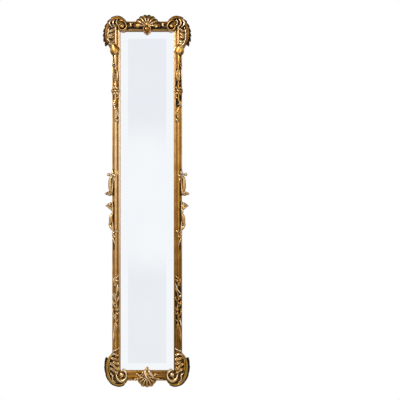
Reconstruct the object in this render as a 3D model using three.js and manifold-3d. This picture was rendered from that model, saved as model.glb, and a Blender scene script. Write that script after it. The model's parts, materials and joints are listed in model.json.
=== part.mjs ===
// Pier mirror: a tall bevelled mirror plate in a carved and gilded wooden frame, hung by two swinging rings.
// Millimetres. X runs to the right, Z up, and the mirror faces -Y. The origin is the centre of the back
// panel's rear face. Depths are measured forward from that face, so a depth of 10 is the plane y = -10.
import * as THREE from 'three';
import { mergeVertices } from 'three/addons/utils/BufferGeometryUtils.js';
import Module from 'manifold-3d';

const wasm = await Module();
wasm.setup();

// ---- Driving dimensions ----

const CLEARANCE = 0.3; // between any two pieces that are fitted to each other

// Frame moulding, seen in section from the sight edge outwards
const SIGHT_WIDTH = 216;
const SIGHT_HEIGHT = 1360;
const STILE_WIDTH = 32;
const RAIL_WIDTH = 40;
const FRAME_DEPTH = 30; // back face to the crown of the reed
const EDGE_DEPTH = 13; // thickness of the outer edge
const BEAD_WIDTH = 8;
const GROOVE_WIDTH = 4;
const REED_WIDTH = 11;
const LIP_THICKNESS = 7; // wood between the plate and the foot of the bead

// Rebates at the back of the moulding
const REBATE_WIDTH = 8;
const LEDGE_WIDTH = 6;

// What the rebates hold
const GLASS_THICKNESS = 5;
const GLASS_EDGE = 2.2;
const BEVEL_WIDTH = 38;
const GLASS_MARGIN = 1.5; // play between the plate and the rebate's wall
const STRIP_THICKNESS = 5.4;
const STRIP_WIDTH = 6.5;
const PANEL_THICKNESS = 4;

// Feather keys in saw kerfs across the mitres
const KEY_LEG = 26;
const KEY_THICKNESS = 2.4;
const KEY_DEPTH = 7;

// Countersunk screws of the back panel
const SCREW_RADIUS = 1.2;
const SCREW_HEAD = 2.7;
const SCREW_SINK = 1.8;
const SCREW_LENGTH = 12;
const SCREWS_PER_STILE = 4;
const SCREW_PITCH = 400;
const SCREW_SIDES = 8;

// Strap hangers with their D-rings
const HANGER_HEIGHT = 400; // the ring's bar above the middle of the frame
const HANGER_INSET = 10.5; // the strap's middle from the outer edge
const STRAP_WIDTH = 12;
const STRAP_LENGTH = 44;
const SHEET = 1.2;
const WIRE_RADIUS = 1.2;
const RING_HALF_WIDTH = 9.2;
const RING_DROP = 15;
const RING_LIFT = 0.4; // between the hanging ring and the strap
const STRAP_SCREW_RADIUS = 1.4;
const STRAP_SCREW_HEAD = 3.1;
const STRAP_SCREW_RISE = 1.6;
const STRAP_SCREW_LENGTH = 12;
const STRAP_SCREW_DROPS = [23, 36]; // below the ring's bar

// Wall pads
const PAD_RADIUS = 6;
const PAD_THICKNESS = 8;
const PAD_INSET = 12; // the pad's middle from the outer edge of the stile
const PAD_LIFT = 28; // and from the lower edge of the frame

// Carving
const CARVING_BACK = 6; // depth at which the overhanging carving starts
const GLASS_CLEAR = 1; // carving that reaches over the plate stays this far in front of it
const CREST_RADIUS = 40;
const CREST_FLUTES = 8;
const CREST_SPREAD = 160; // degrees
const CREST_WIDER = 0.22; // how much further its side flutes reach than its middle ones, as a share
const CREST_DROP = 14; // the shell's hinge below the outer edge, on the reed of the rail
const PENDANT_DROP = 8; // top of the pendant below the hinge
const PENDANT_REACH = 13; // how far it hangs over the plate
const BASE_RADIUS = 40;
const BASE_LOBES = 7;
const BASE_SPREAD = 150; // degrees
const BASE_RISE = 20; // the base fan's hinge above the outer edge
const BAY_RISE = 2; // the corner's ground in front of the foot of the reed

// The carving is drawn in parts, so many to the width of a stile, to the depth of the frame, and to half the
// length that the corner scrolls leave free
const STILE_PARTS = 32;
const DEPTH_PARTS = 30;
const FREE_PARTS = 588;
const CORNER_PARTS = 132; // how far a corner scroll reaches along the stile
const PETAL_REACH = [0.74, 1.1]; // of a rosette's radius, across the stile and along it
const BOSS_SIDES = 8;
const BOSS_STEPS = 3;

// ---- Sizes that follow ----

const SIGHT_X = SIGHT_WIDTH / 2;
const SIGHT_Z = SIGHT_HEIGHT / 2;
const FRAME_X = SIGHT_X + STILE_WIDTH;
const FRAME_Z = SIGHT_Z + RAIL_WIDTH;
const MITRE = RAIL_WIDTH / STILE_WIDTH; // the rails have the stiles' section, drawn out to their own width
const STRIP_DEPTH = PANEL_THICKNESS + CLEARANCE;
const GLASS_BACK = STRIP_DEPTH + STRIP_THICKNESS + CLEARANCE;
const GLASS_FRONT = GLASS_BACK + GLASS_THICKNESS;
const GLASS_X = SIGHT_X + REBATE_WIDTH - GLASS_MARGIN;
const GLASS_Z = SIGHT_Z + REBATE_WIDTH * MITRE - GLASS_MARGIN;
const BEVEL_FALL = (GLASS_THICKNESS - GLASS_EDGE) / BEVEL_WIDTH;
const BEVEL_AT_SIGHT = GLASS_FRONT - BEVEL_FALL * (BEVEL_WIDTH - (GLASS_X - SIGHT_X));
const LIP_BACK = BEVEL_AT_SIGHT + CLEARANCE; // the lip bears on the bevel at the sight edge
const LIP_FRONT = LIP_BACK + LIP_THICKNESS;
const REED_START = BEAD_WIDTH + GROOVE_WIDTH;
const REED_BASE = FRAME_DEPTH - REED_WIDTH / 2;
const PANEL_X = SIGHT_X + REBATE_WIDTH + LEDGE_WIDTH - CLEARANCE;
const PANEL_Z = SIGHT_Z + (REBATE_WIDTH + LEDGE_WIDTH) * MITRE - CLEARANCE;
const SCREW_LINE = REBATE_WIDTH + LEDGE_WIDTH / 2; // from the sight edge, in the ledge's middle
const HANGER_X = FRAME_X - HANGER_INSET;
const STRAP_BACK = CLEARANCE;
const STRAP_FRONT = STRAP_BACK + 2 * SHEET;
const BAR_Y = STRAP_FRONT + RING_LIFT + WIRE_RADIUS;
const HINGE_Z = FRAME_Z - CREST_DROP;
const PART = STILE_WIDTH / STILE_PARTS;
const PART_DEEP = FRAME_DEPTH / DEPTH_PARTS;
const PART_DOWN = (FRAME_Z - CORNER_PARTS * PART) / FREE_PARTS;

// Places in the drawing, in parts
const STILE_EDGE_OF_REED = -10; // from the outer corner to the reed
const LEAF_END = 22; // the corner's ground stops this far short of the rim's leaf end
const CREST_SIDE = 38; // the shell's side scrolls from its middle
const CREST_SIDE_END = 13; // and their ends from there
const VOLUTE_END = 63; // the inboard side of a top volute from the outer edge

// ---- Materials ----

const finish = (color, roughness, metalness) =>
  new THREE.MeshStandardMaterial({ color, roughness, metalness });
const GILT_MOULDING = finish(0xb08a34, 0.38, 1);
const GILT_CARVING = finish(0xc29440, 0.34, 1);
const SILVERED_GLASS = finish(0xe8ecf0, 0.03, 1);
const PLYWOOD = finish(0xb48f62, 0.75, 0);
const SOFTWOOD = finish(0xc7a473, 0.8, 0);
const HARDWOOD = finish(0x8b5a33, 0.7, 0);
const ZINC_STEEL = finish(0xa9aaa6, 0.4, 1);
const BRASS = finish(0xb99a4f, 0.35, 1);
const FELT = finish(0x4c4640, 0.95, 0);

// ---- Meshes and solids ----

const parts = new THREE.Group();

// Turns every face outwards, whichever way round the mesh was made.
function outward(geometry) {
  const mesh = geometry.index ? geometry.toNonIndexed() : geometry;
  const position = mesh.attributes.position;
  const [a, b, c] = [new THREE.Vector3(), new THREE.Vector3(), new THREE.Vector3()];
  let volume = 0;
  for (let i = 0; i < position.count; i += 3) {
    a.fromBufferAttribute(position, i);
    b.fromBufferAttribute(position, i + 1);
    c.fromBufferAttribute(position, i + 2);
    volume += a.dot(b.cross(c));
  }
  if (volume < 0) {
    for (let i = 0; i < position.count; i += 3) {
      a.fromBufferAttribute(position, i);
      b.fromBufferAttribute(position, i + 1);
      position.setXYZ(i, b.x, b.y, b.z);
      position.setXYZ(i + 1, a.x, a.y, a.z);
    }
  }
  return mesh;
}

// A geometry with its shared vertices merged and its collapsed triangles dropped, as a solid.
function solidOf(geometry) {
  const bare = outward(geometry.clone());
  bare.deleteAttribute('normal');
  bare.deleteAttribute('uv');
  const merged = mergeVertices(bare, 1e-4);
  const corners = merged.index.array;
  const triangles = [];
  for (let i = 0; i < corners.length; i += 3) {
    const [a, b, c] = [corners[i], corners[i + 1], corners[i + 2]];
    if (a !== b && b !== c && c !== a) triangles.push(a, b, c);
  }
  return new wasm.Manifold(new wasm.Mesh({
    numProp: 3,
    vertProperties: new Float32Array(merged.attributes.position.array),
    triVerts: new Uint32Array(triangles),
  }));
}

function geometryOf(solid) {
  const mesh = solid.getMesh();
  const geometry = new THREE.BufferGeometry();
  geometry.setAttribute('position', new THREE.BufferAttribute(new Float32Array(mesh.vertProperties), 3));
  geometry.setIndex(new THREE.BufferAttribute(new Uint32Array(mesh.triVerts), 1));
  geometry.computeVertexNormals();
  return geometry;
}

const join = (geometries) => geometries.map(solidOf).reduce((whole, solid) => whole.add(solid));
const cut = (solid, cutters) => cutters.reduce((rest, cutter) => rest.subtract(cutter), solid);

function addPart(name, shape, material) {
  const geometry = shape.isBufferGeometry ? outward(shape) : geometryOf(shape);
  geometry.computeVertexNormals();
  const mesh = new THREE.Mesh(geometry, material);
  mesh.name = name;
  parts.add(mesh);
}

// Moves every vertex of a geometry to where a function puts it.
function mapped(geometry, place) {
  const position = geometry.attributes.position;
  for (let i = 0; i < position.count; i += 1) {
    const spot = place(position.getX(i), position.getY(i), position.getZ(i));
    position.setXYZ(i, spot.x, spot.y, spot.z);
  }
  return outward(geometry);
}

function box(low, high) {
  const size = new THREE.Vector3().subVectors(high, low);
  const middle = new THREE.Vector3().addVectors(high, low).multiplyScalar(0.5);
  return new THREE.BoxGeometry(size.x, size.y, size.z).translate(middle.x, middle.y, middle.z);
}

function extruded(shape, depth) {
  return new THREE.ExtrudeGeometry(shape, { depth, steps: 1, bevelEnabled: false, curveSegments: 7 });
}

// Skins a row of rings with the same number of points, and closes both ends.
function loft(rings) {
  const corners = [];
  const triangle = (a, b, c) => corners.push(a, b, c);
  const sides = rings[0].length;
  for (let i = 0; i + 1 < rings.length; i += 1) {
    for (let j = 0; j < sides; j += 1) {
      const next = (j + 1) % sides;
      triangle(rings[i][j], rings[i + 1][j], rings[i + 1][next]);
      triangle(rings[i][j], rings[i + 1][next], rings[i][next]);
    }
  }
  const middle = (ring) =>
    ring.reduce((sum, point) => sum.add(point), new THREE.Vector3()).divideScalar(sides);
  const [first, last] = [rings[0], rings[rings.length - 1]];
  const [firstMiddle, lastMiddle] = [middle(first), middle(last)];
  for (let j = 0; j < sides; j += 1) {
    const next = (j + 1) % sides;
    triangle(first[j], first[next], firstMiddle);
    triangle(last[next], last[j], lastMiddle);
  }
  return outward(new THREE.BufferGeometry().setFromPoints(corners));
}

// ---- Frame moulding ----

function arc(middle, radii, from, to, steps) {
  return Array.from({ length: steps + 1 }, (_, i) => {
    const angle = from + ((to - from) * i) / steps;
    return new THREE.Vector2(middle[0] + radii[0] * Math.cos(angle), middle[1] + radii[1] * Math.sin(angle));
  });
}

// The face of the moulding: sight bead, groove, reed and outer cove. First value: distance from the sight
// edge. Second value: depth.
function faceOutline() {
  const bead = BEAD_WIDTH / 2;
  const reed = REED_WIDTH / 2;
  const cove = STILE_WIDTH - REED_START - REED_WIDTH;
  return [
    ...arc([bead, LIP_FRONT], [bead, bead], Math.PI, 0, 6),
    new THREE.Vector2(REED_START, LIP_FRONT),
    ...arc([REED_START + reed, REED_BASE], [reed, reed], Math.PI, 0, 8),
    ...arc([STILE_WIDTH, REED_BASE], [cove, REED_BASE - EDGE_DEPTH], Math.PI, 1.5 * Math.PI, 4).slice(1),
  ];
}

function mouldingShape() {
  const ledge = REBATE_WIDTH + LEDGE_WIDTH;
  return new THREE.Shape([
    ...faceOutline(),
    new THREE.Vector2(STILE_WIDTH, 0),
    new THREE.Vector2(ledge, 0),
    new THREE.Vector2(ledge, STRIP_DEPTH),
    new THREE.Vector2(REBATE_WIDTH, STRIP_DEPTH),
    new THREE.Vector2(REBATE_WIDTH, LIP_BACK),
    new THREE.Vector2(0, LIP_BACK),
  ]);
}

// What carving must clear: a plain outline that touches the crowns of the bead and the reed with the
// clearance, bridges the groove and the cove, and is filled to behind the frame.
function seatShape() {
  const shoulders = (start, width, base) => {
    const radius = width / 2;
    const flat = radius * (Math.SQRT2 - 1);
    return [
      new THREE.Vector2(start - CLEARANCE, base + flat),
      new THREE.Vector2(start + radius - flat, base + radius + CLEARANCE),
      new THREE.Vector2(start + radius + flat, base + radius + CLEARANCE),
      new THREE.Vector2(start + width + CLEARANCE, base + flat),
    ];
  };
  return new THREE.Shape([
    ...shoulders(0, BEAD_WIDTH, LIP_FRONT).slice(0, 2),
    ...shoulders(REED_START, REED_WIDTH, REED_BASE),
    new THREE.Vector2(STILE_WIDTH + CLEARANCE, EDGE_DEPTH + CLEARANCE),
    new THREE.Vector2(STILE_WIDTH + CLEARANCE, -1),
    new THREE.Vector2(-CLEARANCE, -1),
  ]);
}

// One side of the frame, cut to the mitres at both ends. The gap is taken off each end.
function stileBar(shape, side, gap) {
  const length = (across) => SIGHT_Z + across * MITRE - gap;
  return mapped(extruded(shape, 1), (across, depth, t) =>
    new THREE.Vector3(side * (SIGHT_X + across), -depth, (2 * t - 1) * length(across)));
}

function railBar(shape, end, gap) {
  const length = (across) => SIGHT_X + across - gap;
  return mapped(extruded(shape, 1), (across, depth, t) =>
    new THREE.Vector3((2 * t - 1) * length(across), -depth, end * (SIGHT_Z + across * MITRE)));
}

// A triangle of sheet in the plane of the frame, with its right angle at the outer corner.
function mitreTriangle(side, end, { corner, leg, depth, thickness }) {
  const triangle = new THREE.Shape([
    new THREE.Vector2(corner, corner),
    new THREE.Vector2(leg, corner),
    new THREE.Vector2(corner, leg),
  ]);
  return mapped(extruded(triangle, thickness), (a, b, c) =>
    new THREE.Vector3(side * (FRAME_X - a), -(depth + c), end * (FRAME_Z - b)));
}

// A feather key, just short of the outer edges.
const featherKey = (side, end) => mitreTriangle(side, end, {
  corner: CLEARANCE,
  leg: KEY_LEG,
  depth: KEY_DEPTH,
  thickness: KEY_THICKNESS,
});

// The saw kerf that takes it, which runs out through both outer edges.
const kerf = (side, end) => mitreTriangle(side, end, {
  corner: -CLEARANCE,
  leg: KEY_LEG + CLEARANCE * (2 + Math.SQRT2),
  depth: KEY_DEPTH - CLEARANCE,
  thickness: KEY_THICKNESS + 2 * CLEARANCE,
});

// ---- Screws ----

// A countersunk screw whose head lies flush with the rear face. With room it is the hole for it.
function panelScrew(x, z, room) {
  const proud = room ? 1 : 0;
  const outline = [
    new THREE.Vector2(0, proud),
    new THREE.Vector2(SCREW_HEAD + room, proud),
    new THREE.Vector2(SCREW_HEAD + room, -CLEARANCE / 2),
    new THREE.Vector2(SCREW_RADIUS + room, -SCREW_SINK),
    new THREE.Vector2(SCREW_RADIUS + room, -SCREW_LENGTH + SCREW_RADIUS),
    new THREE.Vector2(0, -SCREW_LENGTH - room),
  ];
  return outward(new THREE.LatheGeometry(outline, SCREW_SIDES)).translate(x, 0, z);
}

function panelScrewPlaces() {
  const places = [];
  for (const side of [-1, 1]) {
    for (let i = 0; i < SCREWS_PER_STILE; i += 1) {
      places.push([side * (SIGHT_X + SCREW_LINE), (i - (SCREWS_PER_STILE - 1) / 2) * SCREW_PITCH]);
    }
  }
  for (const end of [-1, 1]) places.push([0, end * (SIGHT_Z + SCREW_LINE * MITRE)]);
  return places;
}

// A round-headed screw of a hanger strap, or with room the hole for its shank.
function strapScrew(x, z, room) {
  const seat = STRAP_FRONT + CLEARANCE;
  const radius = STRAP_SCREW_RADIUS + room;
  const shank = [
    new THREE.Vector2(radius, -STRAP_SCREW_LENGTH + radius),
    new THREE.Vector2(0, -STRAP_SCREW_LENGTH - room),
  ];
  const head = [
    ...arc([0, seat], [STRAP_SCREW_HEAD, STRAP_SCREW_RISE], Math.PI / 2, 0, 4),
    new THREE.Vector2(radius, seat),
  ];
  const mouth = [new THREE.Vector2(0, seat + 1), new THREE.Vector2(radius, seat + 1)];
  const top = room ? mouth : head;
  return outward(new THREE.LatheGeometry([...top, ...shank], SCREW_SIDES)).translate(x, 0, z);
}

const strapScrewPlaces = (side) => STRAP_SCREW_DROPS.map((drop) => [side * HANGER_X, HANGER_HEIGHT - drop]);

// ---- Hangers ----

// A strip of sheet folded round the ring's bar: two thicknesses on the frame, and the fold standing off it.
function strap(side) {
  const half = STRAP_WIDTH / 2;
  const tongue = new THREE.Shape();
  tongue.moveTo(-half, 0);
  tongue.lineTo(-half, -STRAP_LENGTH + half);
  tongue.absarc(0, -STRAP_LENGTH + half, half, Math.PI, 2 * Math.PI, false);
  tongue.lineTo(half, 0);
  const plate = mapped(extruded(tongue, 2 * SHEET), (a, b, c) => new THREE.Vector3(a, STRAP_BACK + c, b));
  const eye = WIRE_RADIUS + CLEARANCE;
  const fold = new THREE.Shape().absarc(0, 0, eye + SHEET, 0, 2 * Math.PI, false);
  fold.holes.push(new THREE.Path().absarc(0, 0, eye, 0, 2 * Math.PI, true));
  const knuckle = mapped(extruded(fold, STRAP_WIDTH), (a, b, c) => new THREE.Vector3(c - half, BAR_Y + a, b));
  const whole = join([plate, knuckle]).translate(side * HANGER_X, 0, HANGER_HEIGHT);
  return cut(whole, strapScrewPlaces(side).map(([x, z]) => solidOf(strapScrew(x, z, CLEARANCE))));
}

// The D-ring hangs from its straight bar: a half-oval bow of round wire.
function dRing(side) {
  class Bow extends THREE.Curve {
    getPoint(t, target = new THREE.Vector3()) {
      return target.set(RING_HALF_WIDTH * Math.cos(Math.PI * t), 0, -RING_DROP * Math.sin(Math.PI * t));
    }
  }
  const wire = new THREE.Shape(arc([0, 0], [WIRE_RADIUS, WIRE_RADIUS], 0, 2 * Math.PI, 6).slice(0, -1));
  const bow = new THREE.ExtrudeGeometry(wire, { steps: 14, bevelEnabled: false, extrudePath: new Bow() });
  const bar = new THREE.CylinderGeometry(WIRE_RADIUS, WIRE_RADIUS, 2 * RING_HALF_WIDTH, 8);
  bar.rotateZ(Math.PI / 2);
  const elbows = [-1, 1].map((end) =>
    new THREE.SphereGeometry(WIRE_RADIUS * 1.04, 8, 5).translate(end * RING_HALF_WIDTH, 0, 0));
  return join([bow, bar, ...elbows]).translate(side * HANGER_X, BAR_Y, HANGER_HEIGHT);
}

// ---- Carving ----

// Cross-sections of a carved stroke: how far across, and how high of the full rise.
const ROUND = [[-1, 0.5], [-0.45, 0.96], [0.45, 0.96], [1, 0.5]];
const LEAF = [[-1, 0.5], [-0.55, 1], [0, 0.8], [0.55, 1], [1, 0.5]];
const BAND = [[-1, 0.72], [-0.6, 1], [0, 0.86], [0.6, 1], [1, 0.72]];

// A stroke of carving swept along a smooth line. Each point is x, z, the width and the depth of its crown.
function stroke(points, section = LEAF, stepsPerSpan = 1) {
  const line = new THREE.CatmullRomCurve3(points.map(([x, z]) => new THREE.Vector3(x, 0, z)));
  const sizes = new THREE.CatmullRomCurve3(points.map(([, , width, crown]) =>
    new THREE.Vector3(width, crown, 0)));
  const steps = Math.round((points.length - 1) * stepsPerSpan);
  const rings = Array.from({ length: steps + 1 }, (_, i) => {
    const t = i / steps;
    const middle = line.getPoint(t);
    const tangent = line.getTangent(t);
    const size = sizes.getPoint(t);
    const spot = (across, depth) => new THREE.Vector3(
      middle.x - (tangent.z * across * size.x) / 2,
      -depth,
      middle.z + (tangent.x * across * size.x) / 2,
    );
    const height = size.y - CARVING_BACK;
    const face = section.map(([across, share]) => spot(across, CARVING_BACK + share * height));
    return [...face, spot(1, CARVING_BACK), spot(-1, CARVING_BACK)];
  });
  return loft(rings);
}

// A low round boss, such as the eye of a scroll or a berry.
function boss(x, z, radius, crown) {
  const height = crown - CARVING_BACK;
  const outline = [...arc([0, 0], [radius, height], Math.PI / 2, 0, BOSS_STEPS), new THREE.Vector2(0, 0)];
  return mapped(new THREE.LatheGeometry(outline, BOSS_SIDES), (a, b, c) =>
    new THREE.Vector3(x + a, -(CARVING_BACK + b), z + c));
}

// A flat piece of carving between two depths.
function slab(points, low, high) {
  const shape = new THREE.Shape(points.map(([x, z]) => new THREE.Vector2(x, z)));
  return mapped(extruded(shape, high - low), (a, b, c) => new THREE.Vector3(a, -(low + c), b));
}

// One piece of carving from its drawing: strokes, each a section and its points, and bosses.
function carved(place, strokes, bosses = []) {
  const solids = [
    ...strokes.map(([section, ...points]) => stroke(points.map(place), section)),
    ...bosses.map((spot) => boss(...place(spot))),
  ];
  return join(solids).subtract(seat);
}

// Points on a spiral that winds in to its eye, the first one on the inboard side of it.
function spiralPoints({ eye, radius, decay, turns, width, crown }) {
  const count = Math.round(turns * 8);
  return Array.from({ length: count + 1 }, (_, i) => {
    const angle = (i * Math.PI) / 4;
    const reach = radius * Math.exp(-decay * angle);
    const shrink = 1 - (0.45 * i) / count;
    return [eye[0] - reach * Math.cos(angle), eye[1] + reach * Math.sin(angle), width * shrink, crown];
  });
}

// The corner scrolls are drawn in parts from the frame's outer corner: outwards, along the stile, width and
// crown. The rim runs from its leaf end on the stile, round the corner, to the volute.
const TOP_SCROLL = {
  rim: [
    [-21, 127, 7, 32], [-9, 125, 8, 33], [1, 116, 9, 35], [6, 103, 9, 37], [13, 89, 9, 38],
    [20, 72, 9, 40], [23, 54, 9, 41], [22, 36, 9, 41], [16, 17, 10, 42], [4, -1, 11, 43],
    [-12, -13, 12, 44], [-29, -14, 12, 44], [-44, -5, 10, 44], [-55, 6, 9, 44],
    ...spiralPoints({ eye: [-39.5, 22], radius: 20, decay: 0.095, turns: 1.5, width: 8.5, crown: 45 }),
  ],
  rimEnd: 13, // the point of the rim at which the volute starts
  eye: [-39.5, 22, 8, 46],
  flange: { first: 10.4, last: 3.9, narrow: 11, wide: 19, teeth: 7, bite: 0.42, hook: 3 },
  leaves: [
    [[7, 2, 5, 39], [5, 11, 10, 44], [-4, 21, 6, 41]],
    [[-3, -3, 4, 38], [-7, 5, 9, 42], [-11, 15, 5, 39]],
    [[-26, 1, 5, 40], [-18, 8, 8, 43], [-16, 20, 5, 38]],
    [[-9, 36, 7, 34], [3, 40, 12, 41], [14, 47, 5, 36]],
    [[-9, 48, 7, 34], [3, 53, 12, 41], [13, 60, 5, 36]],
    [[-10, 61, 7, 34], [-1, 65, 11, 40], [8, 72, 5, 35]],
    [[-10, 76, 8, 34], [-5, 89, 15, 40], [-7, 104, 8, 35]],
    [[4, 80, 5, 34], [4, 92, 9, 38], [-1, 103, 5, 34]],
    [[-8, 104, 12, 34], [-11, 116, 26, 38], [-16, 127, 14, 33]],
  ],
};
const BASE_SCROLL = {
  rim: [
    [-23, 122, 6, 31], [-8, 113, 8, 34], [4, 101, 9, 37], [12, 88, 11, 39], [17, 70, 12, 40],
    [18, 52, 12, 41], [16, 33, 12, 41], [11, 15, 12, 42], [1, -1, 12, 42], [-12, -11, 10, 42],
    [-28, -15, 9, 42], [-43, -12, 8, 41], [-55, -4, 7, 40], [-61, 6, 5, 39],
  ],
  rimEnd: 13,
  volute: [
    [-16, 28, 6, 41], [-19, 15, 12, 44], [-27, 4, 16, 45], [-40, 1, 16, 46], [-52, 8, 14, 45],
    [-58, 20, 10, 45], [-56, 32, 8, 44], [-48, 40, 6, 43], [-38, 42, 4, 42],
  ],
  eye: [-39.5, 26.5, 10, 46],
  flange: { first: 11.3, last: 3, narrow: 10, wide: 15.5, teeth: 5, bite: 0.2, hook: 1 },
  leaves: [
    [[-30, 6, 9, 38], [-36, 16, 11, 37], [-40, 27, 9, 37]],
    [[-7, 73, 6, 34], [3, 69, 11, 40], [9, 62, 4, 35]],
    [[-8, 48, 7, 34], [2, 42, 12, 40], [9, 34, 5, 35]],
    [[-8, 30, 7, 35], [-2, 22, 11, 41], [0, 10, 5, 38]],
    [[-12, 99, 8, 33], [-11, 84, 16, 38], [-14, 68, 9, 35]],
    [[-13, 72, 8, 35], [-14, 55, 15, 38], [-16, 38, 9, 35]],
    [[-12, 42, 8, 34], [-15, 31, 11, 38], [-22, 23, 6, 36]],
    [[-8, 98, 7, 34], [-13, 104, 13, 37], [-23, 108, 5, 32]],
  ],
};

// The flange behind the rim, cut into teeth that lean away from the top of the corner.
function toothedFlange(rimLine, { first, last, narrow, wide, teeth, bite, hook }) {
  const spans = rimLine.points.length - 1;
  const edge = [];
  const foot = [];
  const spot = (share, reach, slip) => {
    const at = (first + (last - first) * share) / spans;
    const point = rimLine.getPoint(at);
    const tangent = rimLine.getTangent(at);
    return [point.x - tangent.y * reach - tangent.x * slip, point.y + tangent.x * reach - tangent.y * slip];
  };
  for (let i = 0; i < teeth; i += 1) {
    const full = narrow + ((wide - narrow) * i) / (teeth - 1);
    const [notch, tip] = [i / teeth, (i + 1) / teeth];
    edge.push(spot(notch, full * (1 - bite), 0));
    edge.push(spot((notch + tip) / 2, full * (1 - bite / 3), 0));
    edge.push(spot(tip, full, hook));
    foot.push(spot(notch, 0, 0));
  }
  foot.push(spot(1, 0, 0));
  return [...edge, ...foot.reverse()];
}

function cornerScroll(form, side, end) {
  const place = ([outwards, along, width, crown]) => [
    side * (FRAME_X + outwards * PART), end * (FRAME_Z - along * PART), width * PART, crown * PART_DEEP,
  ];
  const rim = form.rim.slice(0, form.rimEnd + 1);
  const rimLine = new THREE.CatmullRomCurve3(rim.map(([outwards, along]) =>
    new THREE.Vector3(outwards, along, 0)));

  // The ground of the carving fills the bay between the rim and the reed of the stile.
  const inner = [STILE_EDGE_OF_REED, rim[0][1] - LEAF_END];
  const bay = [...rim.slice(3), form.eye, [inner[0], form.eye[1]], inner].map(place);

  const pieces = [
    stroke(form.rim.map(place), BAND),
    boss(...place(form.eye)),
    slab(bay, CARVING_BACK, REED_BASE + BAY_RISE),
    slab(toothedFlange(rimLine, form.flange).map(place), CARVING_BACK, REED_BASE),
    ...form.leaves.map((leaf) => stroke(leaf.map(place), LEAF)),
  ];
  if (form.volute) pieces.push(stroke(form.volute.map(place), BAND));
  return join(pieces).subtract(seat);
}

// A fan of flutes round a hinge, as on a scallop shell. Crowns run from the hinge to the edge.
function fan({ z, radius, flutes, spread, turn, crowns, wider = 0, longer = 0 }) {
  const pieces = [];
  for (let i = 0; i < flutes; i += 1) {
    const share = i / (flutes - 1) - 0.5;
    const angle = turn + THREE.MathUtils.degToRad(spread) * share;
    const reach = radius * (1 + longer * Math.cos(2 * Math.PI * share) + wider * Math.abs(Math.sin(angle)));
    const width = (reach * THREE.MathUtils.degToRad(spread) * 1.12) / (flutes - 1);
    const at = (distance) => [distance * Math.sin(angle), z + distance * Math.cos(angle)];
    pieces.push(stroke([
      [...at(reach * 0.1), width * 0.25, crowns[0] * PART_DEEP],
      [...at(reach * 0.6), width * 0.7, crowns[1] * PART_DEEP],
      [...at(reach), width, crowns[2] * PART_DEEP],
    ], ROUND));
  }
  return pieces;
}

// Carving on a rail is drawn in parts from a point on the rail's middle line: sideways, up, width and crown.
const onRail = (side, z) => ([across, up, width, crown]) =>
  [side * across * PART, z + up * PART, width * PART, crown * PART_DEEP];

function crestShell() {
  const pieces = fan({
    z: HINGE_Z, radius: CREST_RADIUS, flutes: CREST_FLUTES, spread: CREST_SPREAD, turn: 0,
    crowns: [37, 45, 37], wider: CREST_WIDER,
  });
  pieces.push(boss(...onRail(1, HINGE_Z)([0, 1, 8, 41])));
  for (const side of [-1, 1]) {
    const place = onRail(side, HINGE_Z);
    pieces.push(stroke([[5, -3, 8, 38], [22, -3, 8, 40], [CREST_SIDE + 8, -1, 8, 38]].map(place), ROUND));
    pieces.push(boss(...place([CREST_SIDE, -6, 7.5, 41])));
  }
  return join(pieces).subtract(seat);
}

// The heart-shaped leaf that hangs under the shell and over the plate.
function crestPendant() {
  const top = HINGE_Z - PENDANT_DROP;
  const tip = SIGHT_Z - PENDANT_REACH;
  const drop = (share) => top - (top - tip) * share;
  return solidOf(stroke([
    [0, drop(0), 20 * PART, 36 * PART_DEEP],
    [0, drop(0.27), 33 * PART, 40 * PART_DEEP],
    [0, drop(0.6), 27 * PART, 37 * PART_DEEP],
    [0, drop(0.86), 12 * PART, 31 * PART_DEEP],
    [0, drop(1), 3 * PART, 27 * PART_DEEP],
  ], LEAF)).subtract(seat);
}

// A small leaf between the shell's side scroll and the corner's volute.
function crestLeaf(side) {
  const from = (CREST_SIDE + CREST_SIDE_END) * PART;
  const to = FRAME_X - VOLUTE_END * PART;
  const middle = (from + to) / 2;
  const half = (to - from) * 0.3;
  const z = (up) => HINGE_Z + up * PART;
  return join([
    stroke([
      [side * (middle - half), z(-4), 4 * PART, 30 * PART_DEEP],
      [side * middle, z(3), 11 * PART, 35 * PART_DEEP],
      [side * (middle + half), z(1), 4 * PART, 30 * PART_DEEP],
    ], LEAF, 2),
    boss(side * middle, z(-3), 5 * PART, 36 * PART_DEEP),
  ]).subtract(seat);
}

// The base cartouche: an inverted fan of leaves below a bud that rises over the plate.
function baseCartouche() {
  const z = -FRAME_Z + BASE_RISE;
  const pieces = fan({
    z, radius: BASE_RADIUS, flutes: BASE_LOBES, spread: BASE_SPREAD, turn: Math.PI,
    crowns: [40, 44, 36], longer: 0.17,
  });
  pieces.push(boss(...onRail(1, z)([0, 4, 14, 42])));
  for (const side of [-1, 1]) {
    const place = onRail(side, z);
    pieces.push(stroke([[3, -4, 6, 42], [11, 8, 9, 43], [19, -6, 5, 40]].map(place), LEAF, 2));
    pieces.push(stroke([
      [14, -6, 9, 38], [36, -9, 11, 38], [56, -14, 8, 33], [66, -11, 4, 28],
    ].map(place), LEAF));
    pieces.push(boss(...place([47, -14, 6, 36])));
  }
  const [low, bud] = [onRail(1, z), onRail(1, -SIGHT_Z)];
  pieces.push(stroke([low([0, 0, 9, 42]), bud([0, -3, 8, 37]), bud([0, 4, 6, 33])], ROUND, 2));
  pieces.push(boss(...bud([0, 6, 7, 34])));
  return join(pieces).subtract(seat);
}

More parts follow.
